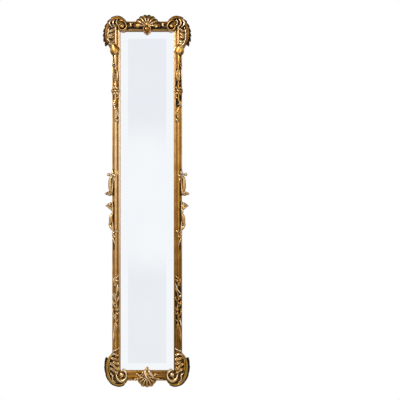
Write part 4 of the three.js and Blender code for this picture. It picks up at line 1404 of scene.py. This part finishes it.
@dataclass
class CornerScroll:
    """A C-scroll round one corner of the frame: volute, rim, toothed flange and leaves.

    Sizes are in millimetres.
    """

    carver: Carver
    side: Side
    end: End
    form: ScrollForm
    ground_inner: float = -10.0
    ground_short: float = 22.0
    rim_steps: int = 8
    bay_from: int = 3  # the rim's stop at which the ground behind the leaves begins
    bay_front: float = 27.0
    flange_steps: int = 40
    flange_back: float = 8.0
    flange_front: float = 25.0
    tooth_points: int = 7
    tooth_curve: float = 1.6

    def _place(self, stop: Stop) -> Stop:
        """From the corner's own directions to the frame's."""
        m = self.carver.moulding
        return (self.side.value * (m.outer_x + stop[0]), self.end.value * (m.outer_z - stop[1]), *stop[2:])

    def _placed(self, stops: Iterable[Stop]) -> list[Stop]:
        """The same for a row of stops."""
        return [self._place(stop) for stop in stops]

    def _beside_rim(
        self, line: np.ndarray, along: np.ndarray, share: float, reach: float = 0.0, slip: float = 0.0
    ) -> tuple[float, float]:
        """A point of the flange.

        Args:
            line: The rim in fine steps.
            along: Its direction at each step.
            share: How far along the flange.
            reach: How far out from the rim's middle.
            slip: How far back along the rim.

        Returns:
            The point in the corner's own directions.
        """
        cut = self.form.flange
        row = int(round((cut.first + (cut.last - cut.first) * share) * self.flange_steps))
        (x, y), (dx, dy) = line[row, :2], along[row]
        return (x - dy * reach - dx * slip, y + dx * reach - dy * slip)

    def _flange(self) -> Mesh:
        """The flange, whose teeth lean away from the top of the corner.

        Returns:
            A closed mesh in millimetres.
        """
        cut = self.form.flange
        line = smooth_line(self.form.rim, self.flange_steps)
        along = np.gradient(line[:, :2], axis=0)
        along /= np.linalg.norm(along, axis=1, keepdims=True)
        edge, foot = [], []
        for i in range(cut.teeth):
            full = cut.narrow + (cut.wide - cut.narrow) * i / (cut.teeth - 1)
            for share in np.linspace(0, 1, self.tooth_points):
                reach = full * (1 - cut.bite * (1 - share) ** self.tooth_curve)
                at = (i + share) / cut.teeth
                edge.append(self._beside_rim(line, along, at, reach, cut.hook * share**3))
                foot.append(self._beside_rim(line, along, at))
        return slab(self._placed([*edge, *reversed(foot)]), self.flange_back, self.flange_front)

    def _bay(self) -> Mesh:
        """The ground between the rim and the sight edge.

        Returns:
            A closed mesh in millimetres.
        """
        rim, eye = self.form.rim, self.form.eye
        line = smooth_line(rim, self.rim_steps)[self.bay_from * self.rim_steps :, :2]
        foot = (self.ground_inner, rim[0][1] - self.ground_short)
        return slab(self._placed([*line, eye, (self.ground_inner, eye[1]), foot]), CARVING_BACK, self.bay_front)

    def build(self) -> None:
        """Makes the corner's seven pieces."""
        form = self.form
        hand = np.random.default_rng(HAND_SEED + 5 * self.side.value + self.end.value)
        leaves = [sweep(self._placed(varied(leaf, hand))) for leaf in form.leaves]
        if form.cup:
            leaves.append(sweep(self._placed(form.cup), Section.ROUND))
        accents = [sweep(self._placed(leaf), Section.ROUND) for leaf in form.accents]
        volute = [sweep(self._placed(form.volute), Section.ROUND), berry(*self._place(form.eye))]
        inner_leaf = sweep(self._placed(form.inner_leaf), Section.ROUND)
        corner = f"{self.end.word}_{self.side.word}"
        # Each piece takes its own copy of the gilding: the accents are painted highlight, the flange deep
        # painted shade, and the top corners' rim and bay half painted shade.
        for piece, strokes, tone in (
            ("scroll", leaves, form.leaf_tone),
            ("accents", accents, Tone.CREAM),
            ("volute", volute, form.volute_tone),
            ("inner_leaf", [inner_leaf], form.inner_tones[self.side]),
            ("rim", [sweep(self._placed(form.rim), Section.RIM)], form.rim_tone),
            ("bay", [self._bay()], form.bay_tone),
            ("flange", [self._flange()], Tone.DEEP_SHADE),
        ):
            self.carver.carve(f"carved_{piece}_{corner}", strokes, f"corner_scroll_{corner}", tone)


FLUTE = ((0.12, 0.26), (0.5, 0.62), (0.84, 1), (1, 0.6))  # shares of the reach and of the width
FLUTE_OVERLAP = 1.02
FLUTE_SWELL = 1.5  # mm that a flute rises before its tip bends back


@dataclass(frozen=True)
class Fan:
    """Flutes that fan out from a hinge on the frame's middle line.

    Crowns run from the hinge to the edge, turn is where the fan's middle points in radians from straight
    up, and longer and wider say how much its middle and its sides reach out, as shares.
    """

    z: float
    radius: float
    flutes: int
    spread: float
    turn: float
    crowns: Stop
    wider: float = 0.0
    longer: float = 0.0
    tip: float = 5.0

    def strokes(self) -> list[Mesh]:
        """Draws the flutes.

        Returns:
            One mesh for each flute, whose end bends back.
        """
        hinge, middle, outer = self.crowns
        crowns = (hinge, middle, outer + FLUTE_SWELL, outer - self.tip)
        made = []
        for i in range(self.flutes):
            share = i / (self.flutes - 1) - 0.5
            angle = self.turn + math.radians(self.spread) * share
            stretch = self.longer * math.cos(2 * math.pi * share) + self.wider * abs(math.sin(angle))
            reach = self.radius * (1 + stretch)
            width = reach * math.radians(self.spread) * FLUTE_OVERLAP / (self.flutes - 1)
            stops = [
                (reach * out * math.sin(angle), self.z + reach * out * math.cos(angle), width * wide, crown)
                for (out, wide), crown in zip(FLUTE, crowns)
            ]
            made.append(sweep(stops, Section.FLUTE))
        return made


def beside_middle(side: Side, z: float, rows: Iterable[Stop]) -> list[Stop]:
    """Stops beside the frame's middle line, from rows of out, up from z, width and crown."""
    return [(side.value * out, z + up, *sizes) for out, up, *sizes in rows]


# Each row is out from the middle line, up from the hinge, width and crown.
SHELL_SCROLL = (
    ((5, -3, 8, 38), (22, -3, 8, 40), (46, -1, 8, 38)),
    ((45, 3, 5, 37), (43, -7, 7, 42), (35, -11, 5, 41), (33, -5, 4, 39)),
)
# Each row is out from the middle line, share of the pendant's length down, width and crown.
PENDANT_BODY = ((0, 0, 20, 34), (0, 0.27, 29, 37), (0, 0.6, 23, 34), (0, 0.86, 10, 30), (0, 1, 3, 27))
PENDANT_RIM = ((6, 0, 7, 38), (14, 0.2, 8, 41), (12.5, 0.52, 7, 39), (6, 0.8, 6, 35), (0.5, 0.98, 4, 29))
PENDANT_VEIN = ((0, 0.05, 5, 40), (0, 0.4, 6, 39), (0, 0.75, 3, 34))


@dataclass
class Crest:
    """The scallop shell on the top rail, the leaf that hangs under it and a leaf on either side.

    Sizes are in millimetres.
    """

    carver: Carver
    hinge_drop: float = 14.0
    fan_sink: float = 8.0
    pendant_over: float = 13.0
    scroll_x: float = 38.0
    scroll_end: float = 13.0
    volute_end: float = 63.0
    leaf_share: float = 0.32

    def build(self) -> None:
        """Makes the shell, its pendant and its two leaves."""
        m = self.carver.moulding
        z = m.outer_z - self.hinge_drop
        fan = Fan(z - self.fan_sink, radius=47, flutes=8, spread=164, turn=0, crowns=(38, 45, 38), wider=0.08)
        strokes = [*fan.strokes(), berry(0, z + 1, 8, 41)]
        for side in Side:
            strokes += [sweep(beside_middle(side, z, rows), Section.ROUND) for rows in SHELL_SCROLL]
            strokes.append(berry(side.value * self.scroll_x, z - 5, 6, 41))
        self.carver.carve("carved_shell", strokes, "crest_shell")
        self._pendant(z - self.fan_sink, m.sight_z - self.pendant_over)
        for side in Side:
            self._side_leaf(side, z)

    def _side_leaf(self, side: Side, z: float) -> None:
        """The leaf between the shell and a corner, on a dark ground that is painted shade.

        Args:
            side: The side that it is on.
            z: Height of the shell's hinge.
        """
        start, stop = self.scroll_x + self.scroll_end, self.carver.moulding.outer_x - self.volute_end
        x, half = side.value * (start + stop) / 2, (stop - start) * self.leaf_share
        node = f"crest_leaf_{side.word}"
        leaf = [
            sweep([(x - half, z - 6, 5, 32), (x - 1, z + 2, 12, 38),
            (x + half, z + 5, 5, 33)], Section.ROUND),
            berry(x, z - 4, 5, 39),
        ]
        self.carver.carve(f"carved_{node}", leaf, node)
        # The ground is gilded almost black: painted shade round the leaf.
        ground = beside_middle(side, z, ((start + 1, -4, 14, 31), (stop - 1, -4, 16, 31)))
        self.carver.carve(f"carved_ground_{side.word}", [sweep(ground, Section.ROUND)], node, Tone.DEEP_SHADE)

    def _pendant(self, top: float, tip: float) -> None:
        """A heart-shaped leaf with a raised rim and a hollow middle.

        Args:
            top: Height at which it starts.
            tip: Height of its tip.
        """
        strokes = []
        for rows, section, signs in (
            (PENDANT_BODY, Section.LEAF, (1,)),
            (PENDANT_RIM, Section.ROUND, (-1, 1)),
            (PENDANT_VEIN, Section.ROUND, (1,)),
        ):
            for sign in signs:
                stops = [(sign * out, top - (top - tip) * down, *sizes) for out, down, *sizes in rows]
                strokes.append(sweep(stops, section))
        self.carver.carve("carved_pendant", strokes, "crest_pendant", Tone.HONEY)


# Each row is out from the middle line, up from the fan's hinge, width and crown. The number is of lobes.
CARTOUCHE_LEAVES = (
    (0, ((3, -6, 6, 42), (10, 8, 10, 45), (20, -5, 5, 40))),
    (0, ((4, 14, 5, 36), (16, 13, 8, 41), (27, -2, 5, 38))),
    (4, ((14, -6, 9, 38), (36, -9, 11, 39), (56, -14, 8, 33), (65, -11, 4, 28))),
    (2, ((26, 4, 5, 35), (38, 8, 8, 38), (50, 3, 5, 33))),
)
BUD_LEAVES = (
    ((-5, 24, 6, 41), (-8, 13, 15, 45), (-4, 1, 14, 46), (2, -8, 7, 45)),
    ((5, 23, 5, 41), (11, 12, 9, 45), (20, 3, 9, 44), (26, -7, 6, 42)),
    ((-14, 7, 4, 42), (-20, -1, 6, 44), (-24, -9, 4, 42)),
)


@dataclass
class BaseCartouche:
    """The inverted fan of leaves on the bottom rail, with a bud that rises over the plate."""

    carver: Carver
    rise: float = 20.0

    def build(self) -> None:
        """Makes the cartouche and the leaves round its bud, gilded pale cream as painted highlight."""
        m = self.carver.moulding
        z = -m.outer_z + self.rise
        fan = Fan(
            z,
            radius=39.5,
            flutes=7,
            spread=150,
            turn=math.pi,
            crowns=(40, 44, 37),
            wider=0.22,
            longer=0.15,
            tip=4,
        )
        strokes = [*fan.strokes(), berry(0, z + 4, 10, 41, ribs=5)]
        for side in Side:
            for lobes, rows in CARTOUCHE_LEAVES:
                strokes.append(sweep(beside_middle(side, z, rows), lobes=lobes))
            strokes.append(berry(side.value * 47, z - 13, 6, 38, ribs=5))
            strokes.append(berry(side.value * 31, z + 2, 4.5, 38))
        stalk = [(0, z, 8, 42), (0, -m.sight_z - 3, 7, 37), (0, -m.sight_z + 4, 6, 33)]
        strokes += [sweep(stalk, Section.ROUND), berry(0, -m.sight_z + 5.5, 7, 35.5)]
        self.carver.carve("carved_cartouche", strokes, "base_cartouche")
        # The bud's leaves are gilded pale cream: painted highlight.
        leaves = [sweep(beside_middle(Side.RIGHT, z, rows), Section.ROUND) for rows in BUD_LEAVES]
        self.carver.carve("carved_bud_leaves", leaves, "base_cartouche", Tone.CREAM)


# Grounds a little over the moulding's crown, gilded dark to show between the leaves: painted shadow.
STILE_SHADOW_GROUNDS = {
    "upper_carving": (
        (0.52, 56, 14), (0.54, 84, 27), (0.54, 110, 25),
        (0.54, 148, 28), (0.58, 190, 22), (0.56, 214, 14),
    ),
    "lower_carving": (
        (0.46, 2, 12), (0.48, 40, 21), (0.52, 90, 25),
        (0.52, 150, 25), (0.5, 184, 18), (0.58, 206, 12),
    ),
}
# Strokes gilded pale cream where highlights fall: painted highlights, placed differently on the left and right
# stiles.
STILE_HIGHLIGHTS = {
    "upper_carving": {
        Side.LEFT: (
            ((0.6, 0, 7, 35), (0.62, 14, 11, 37.5), (0.58, 32, 10, 37.5), (0.56, 45, 6, 36)),
            ((0.94, 51, 4, 34), (0.74, 47, 6, 38.5), (0.5, 44, 4, 37)),
            ((0.68, 60, 3, 37), (0.71, 82, 4, 40), (0.66, 102, 3, 38)),
            ((0.5, 62, 3, 38), (0.5, 84, 4, 41), (0.5, 104, 3, 39)),
            ((0.42, 136, 5, 39), (0.5, 144, 8, 42), (0.6, 150, 5, 39)),
            ((0.86, 196, 5, 36), (0.66, 204, 8, 40), (0.46, 196, 4, 37)),
            ((0.8, 206, 4, 36), (0.5, 228, 6, 40.5), (0.24, 250, 4, 34)),
            ((0.46, 260, 9, 39), (0.42, 266, 12, 42), (0.4, 272, 8, 39)),
        ),
        Side.RIGHT: (
            ((0.7, 42, 4, 36), (0.88, 50, 6, 36), (0.96, 58, 4, 32)),
            ((0.9, 64, 4, 33), (0.94, 84, 6, 34), (0.9, 104, 4, 32)),
            ((0.45, 138, 5, 39), (0.56, 144, 8, 42), (0.68, 146, 5, 39)),
            ((0.5, 204, 5, 37), (0.72, 200, 9, 41), (0.96, 206, 5, 33)),
            ((0.46, 260, 8, 39), (0.44, 266, 10, 42), (0.42, 272, 7, 39)),
        ),
    },
    "lower_carving": {
        Side.LEFT: (
            ((0.35, 4, 5, 38), (0.5, 12, 8, 41), (0.62, 22, 5, 38)),
            ((0.28, 38, 5, 38), (0.34, 54, 7, 41), (0.5, 68, 5, 38)),
            ((0.78, 70, 5, 38), (0.6, 80, 8, 41), (0.74, 94, 5, 38)),
            ((0.42, 128, 6, 39), (0.46, 138, 9, 41.5), (0.4, 148, 5, 39)),
            ((0.9, 160, 5, 34), (0.7, 168, 7, 39), (0.45, 166, 4, 37)),
        ),
        Side.RIGHT: (
            ((0.22, 34, 5, 38), (0.4, 54, 7, 40), (0.8, 74, 5, 38)),
            ((0.62, 82, 6, 39), (0.78, 86, 9, 41), (0.86, 78, 5, 38)),
            ((0.3, 98, 6, 38), (0.42, 106, 7, 41), (0.6, 102, 4, 38)),
            ((0.72, 178, 6, 39), (0.86, 196, 7, 39), (0.88, 208, 4, 36)),
        ),
    },
    "upper_sprig": {
        Side.LEFT: (((1.02, 24, 5, 33), (0.9, 20, 6, 35), (0.76, 26, 5, 39)),),
        Side.RIGHT: (
            ((1.05, 22, 5, 33), (0.9, 19, 7, 35), (0.66, 26, 6, 40)),
            ((1.1, 94, 5, 34), (1.4, 92, 6, 37), (1.7, 97, 4, 32)),
        ),
    },
    "lower_sprig": {
        Side.LEFT: (((1.1, 16, 5, 35), (1.4, 20, 6, 36), (1.7, 22, 4, 31)),),
        Side.RIGHT: (
            ((0.95, 28, 6, 33), (1.08, 40, 8, 35), (1.0, 54, 5, 32)),
            ((1.1, 14, 5, 35), (1.4, 20, 6, 36), (1.7, 22, 4, 31)),
        ),
    },
}


PETAL = ((0.1, 0.4, -3), (0.65, 0.72, 0), (1, 0.25, -6))  # reach and width as shares, rise of the crown
PETAL_STRETCH = 1.15  # how much longer a rosette is than it is wide
PETAL_BOSS = 0.36  # of the rosette's radius
LEAF_BITE = 0.16


@dataclass(frozen=True)
class Pen:
    """Draws on a stile. A stop is the share of its width from the sight edge, mm down, width and crown."""

    moulding: Moulding
    side: Side
    top: float

    def at(self, stop: Stop) -> Stop:
        """From the drawing to the frame's directions."""
        m = self.moulding
        return (self.side.value * (m.sight_x + stop[0] * m.stile), self.top - stop[1], *stop[2:])

    def leaf(self, *stops: Stop, lobes: int = 0) -> Mesh:
        """A veined leaf along the stops."""
        return sweep([self.at(stop) for stop in stops], Section.LEAF, lobes=lobes, bite=LEAF_BITE)

    def stem(self, *stops: Stop) -> Mesh:
        """A round stem along the stops."""
        return sweep([self.at(stop) for stop in stops], Section.ROUND)

    def berry(self, across: float, down: float, radius: float, crown: float, ribs: int = 0) -> Mesh:
        """A berry or bud."""
        return berry(*self.at((across, down, radius, crown)), ribs)

    def rosette(self, across: float, down: float, radius: float, petals: int, crown: float) -> list[Mesh]:
        """A flower of cupped petals round a ribbed boss.

        Args:
            across: Its middle, as a share of the stile's width.
            down: Its middle, down from the top of the drawing.
            radius: Half its width.
            petals: How many petals it has.
            crown: Depth of the petals' crowns.

        Returns:
            The boss and the petals.
        """
        made = [self.berry(across, down, radius * PETAL_BOSS, crown + 3, 6)]
        for i in range(petals):
            angle = 2 * math.pi * (i + 0.5) / petals
            made.append(self.leaf(*(
                (
                    across + radius * share * math.sin(angle) / self.moulding.stile,
                    down + radius * share * math.cos(angle) * PETAL_STRETCH,
                    radius * wide,
                    crown + rise,
                )
                for share, wide, rise in PETAL
            )))
        return made


STEM_MIDDLE, STEM_SWING, STEM_WAVE = 0.48, 0.06, 38  # shares of the stile's width, and mm for half a wave
STEM_START, STEM_PITCH, STEM_STOPS = 6, 13, 15


@dataclass
class StileCarving:
    """Carving that runs down one stile."""

    carver: Carver
    side: Side
    ground_rise: float = 1.2  # mm that the ground stands over the moulding's crown

    def build(self) -> None:
        """Makes the stile's four pieces of carving, with their strokes of painted highlight and grounds of
        painted shadow.
        """
        # The left stile is painted as lit and the right as shaded: the carving is bright on the left and honey
        # on the right, its ground half shade on the left and deep shade on the right.
        lit = self.side is Side.LEFT
        toned = Tone.BRIGHT if lit else Tone.HONEY
        crown = self.carver.moulding.depth + self.ground_rise
        for name, top, draw, tone in (
            ("upper_carving", 588, self._upper, toned),
            ("lower_carving", -296, self._lower, toned),
            ("upper_sprig", 128, self._upper_sprig, Tone.BRIGHT),
            ("lower_sprig", 0, self._lower_sprig, Tone.BRIGHT),
        ):
            pen = Pen(self.carver.moulding, self.side, top)
            node = f"{name}_{self.side.word}"
            self.carver.carve(f"carved_{node}", draw(pen), node, tone)
            accents = [pen.stem(*stops) for stops in STILE_HIGHLIGHTS[name][self.side]]
            self.carver.carve(f"carved_accents_{node}", accents, node, Tone.CREAM)
            if name in STILE_SHADOW_GROUNDS:
                ground = pen.stem(*((*stop, crown) for stop in STILE_SHADOW_GROUNDS[name]))
                # The grounds are painted shadow between the leaves.
                ground_shade = Tone.BROWN if lit else Tone.DEEP_SHADE
                self.carver.carve(f"carved_ground_{node}", [ground], node, ground_shade)

    @staticmethod
    def _wander(down: float) -> float:
        """Where the lower carving's stem runs, as a share of the stile's width."""
        return STEM_MIDDLE + STEM_SWING * math.sin(down * math.pi / STEM_WAVE)

    @staticmethod
    def _upper(pen: Pen) -> list[Mesh]:
        """A long leaf beside the reed, a fluted leaf, a rosette, a diagonal leaf and a bud.

        Args:
            pen: The pen on this stile.

        Returns:
            The strokes.
        """
        return [
            pen.stem((0.94, 0, 4, 26), (0.9, 24, 4, 27), (0.96, 48, 5, 27)),
            pen.stem((0.58, -2, 8, 31), (0.6, 12, 15, 34), (0.58, 30, 15, 34), (0.58, 46, 8, 33)),
            pen.leaf((0.96, 46, 4, 29), (0.78, 38, 7, 36), (0.56, 32, 4, 34)),
            pen.stem((0.56, 30, 7, 33), (0.52, 66, 8, 34), (0.52, 96, 8, 35)),
            pen.leaf((0.66, 64, 5, 34), (0.72, 84, 9, 38), (0.64, 108, 7, 36)),
            pen.leaf((0.4, 64, 5, 34), (0.36, 84, 9, 38), (0.4, 108, 7, 36)),
            pen.leaf((0.53, 70, 4, 36), (0.53, 88, 6, 39), (0.53, 106, 6, 37)),
            pen.stem((0.56, 100, 9, 34), (0.55, 144, 10, 35), (0.6, 190, 8, 34)),
            pen.leaf((0.8, 114, 5, 32), (0.62, 122, 8, 36), (0.4, 128, 4, 33)),
            *pen.rosette(0.55, 147, 18, 6, 39),
            pen.leaf((0.9, 132, 4, 30), (1.0, 146, 7, 33), (0.92, 162, 4, 30)),
            pen.leaf((0.5, 180, 5, 34), (0.34, 174, 8, 38), (0.2, 166, 4, 32)),
            pen.leaf((0.66, 182, 6, 34), (0.8, 202, 11, 38), (0.92, 214, 4, 31), lobes=2),
            pen.leaf((0.82, 202, 5, 33), (0.52, 222, 10, 38), (0.28, 240, 8, 36), (0.22, 252, 4, 31)),
            pen.stem((0.42, 228, 7, 34), (0.44, 262, 7, 34)),
            pen.berry(0.44, 265, 8, 39.5),
        ]

    @staticmethod
    def _lower(pen: Pen) -> list[Mesh]:
        """Curling leaves and berries on a wandering stem, then a long tail with a bud.

        Args:
            pen: The pen on this stile.

        Returns:
            The strokes.
        """
        downs = [STEM_START + STEM_PITCH * i for i in range(STEM_STOPS)]
        return [
            pen.stem(*((StileCarving._wander(down), down, 8, 35) for down in downs)),
            pen.leaf((0.22, 0, 4, 33), (0.42, 10, 8, 38), (0.6, 2, 4, 33)),
            pen.leaf((0.76, 12, 4, 33), (0.74, 26, 8, 36), (0.56, 38, 5, 34)),
            pen.leaf((0.16, 48, 4, 32), (0.3, 60, 8, 38), (0.46, 74, 6, 35)),
            pen.leaf((0.88, 70, 5, 32), (0.84, 82, 8, 38), (0.68, 96, 6, 36), (0.52, 98, 5, 35)),
            pen.leaf((0.2, 86, 4, 32), (0.28, 98, 8, 37), (0.46, 108, 5, 34)),
            pen.leaf((0.88, 102, 5, 32), (0.82, 116, 7, 37), (0.52, 128, 5, 34)),
            pen.leaf((0.18, 148, 5, 32), (0.3, 155, 8, 38), (0.5, 150, 5, 35)),
            pen.leaf((0.86, 134, 5, 32), (0.87, 150, 8, 37), (0.54, 168, 5, 34)),
            pen.leaf((0.94, 170, 6, 30), (0.7, 174, 8, 38), (0.4, 164, 4, 34)),
            pen.leaf((0.24, 176, 4, 32), (0.4, 184, 7, 36), (0.56, 180, 4, 33)),
            pen.leaf((0.5, 184, 8, 34), (0.64, 208, 9, 35), (0.76, 228, 8, 35), (0.9, 246, 4, 31)),
            pen.leaf((0.48, 190, 4, 33), (0.4, 206, 7, 35), (0.46, 222, 3, 32)),
            pen.leaf((0.76, 222, 6, 33), (0.79, 250, 11, 38), (0.82, 267, 4, 31)),
            pen.berry(0.42, 22, 6.5, 40, 5),
            pen.berry(0.6, 40, 5, 38),
            pen.berry(0.62, 112, 4.5, 38),
            pen.berry(0.42, 138, 7.5, 40.5),
        ]

    @staticmethod
    def _upper_sprig(pen: Pen) -> list[Mesh]:
        """A bud on a curved stalk, a berry on the reed, a hanging stem and a leaf that points outwards.

        Args:
            pen: The pen on this stile.

        Returns:
            The strokes.
        """
        return [
            pen.stem(
                (0.98, 0, 5, 24), (0.88, 20, 8, 30), (0.92, 60, 7, 26),
                (0.99, 92, 8, 28), (0.95, 106, 5, 24),
            ),
            pen.stem((0.95, 8, 5, 27), (1.14, 20, 6, 30), (1.36, 24, 6, 28)),
            pen.stem((0.86, 24, 7, 33), (0.7, 26, 7, 34)),
            pen.leaf((0.78, 30, 4, 32), (0.7, 44, 7, 34), (0.76, 56, 3, 31)),
            pen.leaf(
                (0.92, 26, 8, 31), (1.2, 38, 13, 33), (1.25, 60, 16, 33),
                (1.22, 80, 14, 32), (1.02, 92, 9, 29),
            ),
            pen.leaf((0.98, 90, 16, 28), (1.2, 97, 20, 34), (1.5, 98, 17, 33), (1.93, 100, 4, 28), lobes=3),
            pen.leaf((1.05, 96, 4, 33), (1.4, 95, 5, 36), (1.7, 98, 3, 33)),
            pen.berry(1.46, 22, 6.5, 32, 5),
            pen.berry(0.66, 26, 7, 39, 5),
        ]

    @staticmethod
    def _lower_sprig(pen: Pen) -> list[Mesh]:
        """A forked leaf that points outwards, a long curled leaf, berries on the reed and a tail.

        Args:
            pen: The pen on this stile.

        Returns:
            The strokes.
        """
        return [
            pen.stem(
                (0.97, 2, 6, 25), (0.92, 34, 8, 28), (0.96, 74, 7, 27),
                (0.88, 112, 8, 30), (0.86, 150, 6, 33),
            ),
            pen.leaf((1.0, 8, 6, 28), (1.3, 12, 11, 34), (1.84, 21, 4, 29)),
            pen.leaf((0.94, 37, 8, 28), (1.24, 28, 11, 33), (1.6, 22, 5, 31)),
            pen.leaf((0.98, 22, 18, 28), (1.25, 21, 16, 31), (1.6, 21, 6, 30)),
            pen.leaf((0.98, 50, 8, 29), (1.16, 64, 14, 33), (1.18, 84, 15, 32), (1.42, 97, 6, 28)),
            pen.leaf((1.36, 94, 8, 28), (1.12, 104, 14, 32), (0.98, 116, 8, 31)),
            pen.stem((0.44, 121, 7, 34), (0.9, 130, 9, 34), (0.68, 142, 7, 34)),
            pen.leaf((0.92, 144, 6, 33), (0.76, 160, 8, 38.5), (0.58, 180, 5, 34)),
            pen.leaf((0.9, 150, 4, 32), (0.92, 176, 5, 31), (0.9, 196, 4, 28)),
            pen.berry(0.42, 121, 7, 39.5, 5),
            pen.berry(0.66, 142, 6, 39.5, 5),
        ]


# ---- Plate, carcass and back ----


@dataclass
class Back:
    """The wooden carcass, the plate with what holds it, and the hardware on the back."""

    frame: dict
    finishes: Finishes

    def build(self) -> None:
        """Dresses every node that is shown as the model has it."""
        f = self.finishes
        looks = (
            ("stile", f.carcass, "gilt_moulding"),
            ("rail", f.cross_carcass, "gilt_moulding"),
            ("mirror_plate", f.plate, "silvered_glass"),
            ("back_panel", f.plywood, "plywood"),
            ("mitre_key", f.hardwood, "hardwood"),
            ("setting_strip", f.softwood, "softwood"),
            ("panel_screw", f.brass, "brass"),
            ("hanger", f.steel, "zinc_steel"),
            ("wall_pad", f.felt, "felt"),
        )
        for name, piece in self.frame["nodes"].items():
            for start, finish, slot in looks:
                if name.startswith(start):
                    dress(piece, finish, slot)
        LOG.info("back and plate dressed")


# ---- Studio ----


@dataclass
class Studio:
    """A pale room: floor, soft boxes, and a world that is white behind the mirror.

    Angles off the room's axis are given as one minus their cosine, and heights as the sine of how far up
    a direction points. The axis is fixed in the room and looks a little aside of straight ahead.
    """

    pixel: float = 0.004
    mirror_column: float = 147.0
    centre_row: float = 201.0
    half_image: float = 200.0
    lens: float = 135.0
    sensor: float = 36.0
    face_plane: float = -0.03
    floor_half: float = 1.6
    floor_level: float = -1.15
    floor_paint: str = "#E6E6E4"
    floor_roughness: float = 0.8
    look_aside: float = math.radians(2)
    shade_starts: tuple[float, float] = (0.0004, 0.0016)
    shade_ends: tuple[float, float] = (0.0078, 0.0122)
    wall_starts: tuple[float, float] = (0.05, 0.3)
    horizon: tuple[float, float] = (-0.2, 0.14)
    steep: tuple[float, float] = (0.2, 0.7)

    def build(self) -> None:
        """Makes the floor, lamps, world and camera."""
        self._floor()
        self._lamp("key_box", place=(-1.3, -2.0, 1.5), size=1.1, power=52)
        self._lamp("fill_box", place=(1.8, -2.4, 0.3), size=1.6, power=14)
        self._world()
        self._camera()
        bpy.context.scene.view_settings.view_transform = "Standard"

    def _floor(self) -> None:
        """A plain pale floor, below the picture."""
        half, level = self.floor_half, self.floor_level
        corners = [(-half, -half, level), (half, -half, level), (half, half, level), (-half, half, level)]
        floor = new_object("floor", np.array(corners), [(0, 1, 2, 3)])
        material, tree = empty_material("pale_floor_paint")
        shader = add_node(tree, Kind.SURFACE, linear(self.floor_paint), self.floor_roughness)
        add_node(tree, Kind.MATERIAL_OUTPUT, shader)
        floor.data.materials.append(material)

    def _lamp(self, name: str, place: Stop, size: float, power: float) -> None:
        """A square soft box that looks at the middle of the mirror.

        Args:
            name: The lamp's name.
            place: Where it stands, in metres.
            size: Its side, in metres.
            power: Its power, in watts.
        """
        lamp = bpy.data.lights.new(name, "AREA")
        lamp.size = size
        lamp.energy = power
        body = bpy.data.objects.new(name, lamp)
        body.location = place
        body.rotation_euler = Vector(place).to_track_quat("Z", "Y").to_euler()
        bpy.context.scene.collection.objects.link(body)

    def _room(self, tree: bpy.types.NodeTree) -> bpy.types.NodeSocket:
        """The room that shiny surfaces show.

        It is a shade darker close round its axis, paler beyond, dimmer below the horizon, and dark far
        above and below, which gives the gilding its dark slopes.

        Args:
            tree: The world's node tree.

        Returns:
            The room's colour in each direction.
        """
        aim = add_node(tree, Kind.AIM)
        ahead = (-math.sin(self.look_aside), -math.cos(self.look_aside), 0)
        off_axis = add_node(tree, Kind.SUBTRACT, 1.0, add_node(tree, Kind.DOT, aim, ahead))
        pale, shade = linear("#F9FBFD"), linear("#EFF0F4")
        near = add_node(tree, Kind.MIX, add_node(tree, Kind.RAMP, off_axis, *self.shade_starts), pale, shade)
        front = add_node(tree, Kind.MIX, add_node(tree, Kind.RAMP, off_axis, *self.shade_ends), near, pale)
        up = add_node(tree, Kind.HEIGHT, aim)
        over_horizon = add_node(tree, Kind.RAMP, up, *self.horizon)
        level = add_node(tree, Kind.MIX, over_horizon, linear("#A39A8C"), linear("#F2EEE6"))
        steep = add_node(tree, Kind.RAMP, add_node(tree, Kind.ABSOLUTE, up), *self.steep)
        walls = add_node(tree, Kind.MIX, steep, level, linear("#3E3A35"))
        return add_node(tree, Kind.MIX, add_node(tree, Kind.RAMP, off_axis, *self.wall_starts), front, walls)

    def _world(self) -> None:
        """White to the camera, plain grey light for dull surfaces, and the room for shiny ones."""
        world = bpy.data.worlds.new("pale_room")
        bpy.context.scene.world = world
        world.use_nodes = True
        tree = world.node_tree
        tree.nodes.clear()
        glossy = add_node(tree, Kind.PATH, output="Is Glossy Ray")
        through = add_node(tree, Kind.PATH, output="Is Transmission Ray")
        shiny = add_node(tree, Kind.LARGER, glossy, through)
        light = add_node(tree, Kind.MIX, shiny, linear("#8C8C8C"), self._room(tree))
        direct = add_node(tree, Kind.PATH, output="Is Camera Ray")
        seen = add_node(tree, Kind.MIX, direct, light, linear("#FFFFFF"))
        add_node(tree, Kind.WORLD_OUTPUT, add_node(tree, Kind.BACKGROUND, seen, 1.0))

    def _camera(self) -> None:
        """A long lens straight in front, placed so that the mirror stands where the photograph has it."""
        camera = bpy.data.cameras.new("camera")
        camera.lens, camera.sensor_width = self.lens, self.sensor
        distance = 2 * self.half_image * self.pixel * self.lens / self.sensor
        body = bpy.data.objects.new("camera", camera)
        body.location = (
            (self.half_image - self.mirror_column) * self.pixel,
            self.face_plane - distance,
            (self.centre_row - self.half_image) * self.pixel,
        )
        body.rotation_euler = (math.radians(90), 0, 0)
        bpy.context.scene.collection.objects.link(body)
        bpy.context.scene.camera = body


def main() -> None:
    """Builds the pieces in order."""
    logging.basicConfig(level=logging.INFO, format="%(message)s")
    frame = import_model()
    moulding = Moulding.from_frame()
    finishes = Finishes()
    Back(frame, finishes).build()
    GiltFace(moulding, finishes.moulding, finishes.top_rail).build()
    carver = Carver(moulding, finishes.by_tone())
    for side in Side:
        CornerScroll(carver, side, End.TOP, TOP_FORM).build()
        CornerScroll(carver, side, End.BOTTOM, BASE_FORM).build()
        StileCarving(carver, side).build()
    Crest(carver).build()
    BaseCartouche(carver).build()
    Studio().build()


if __name__ == "__main__":
    main()
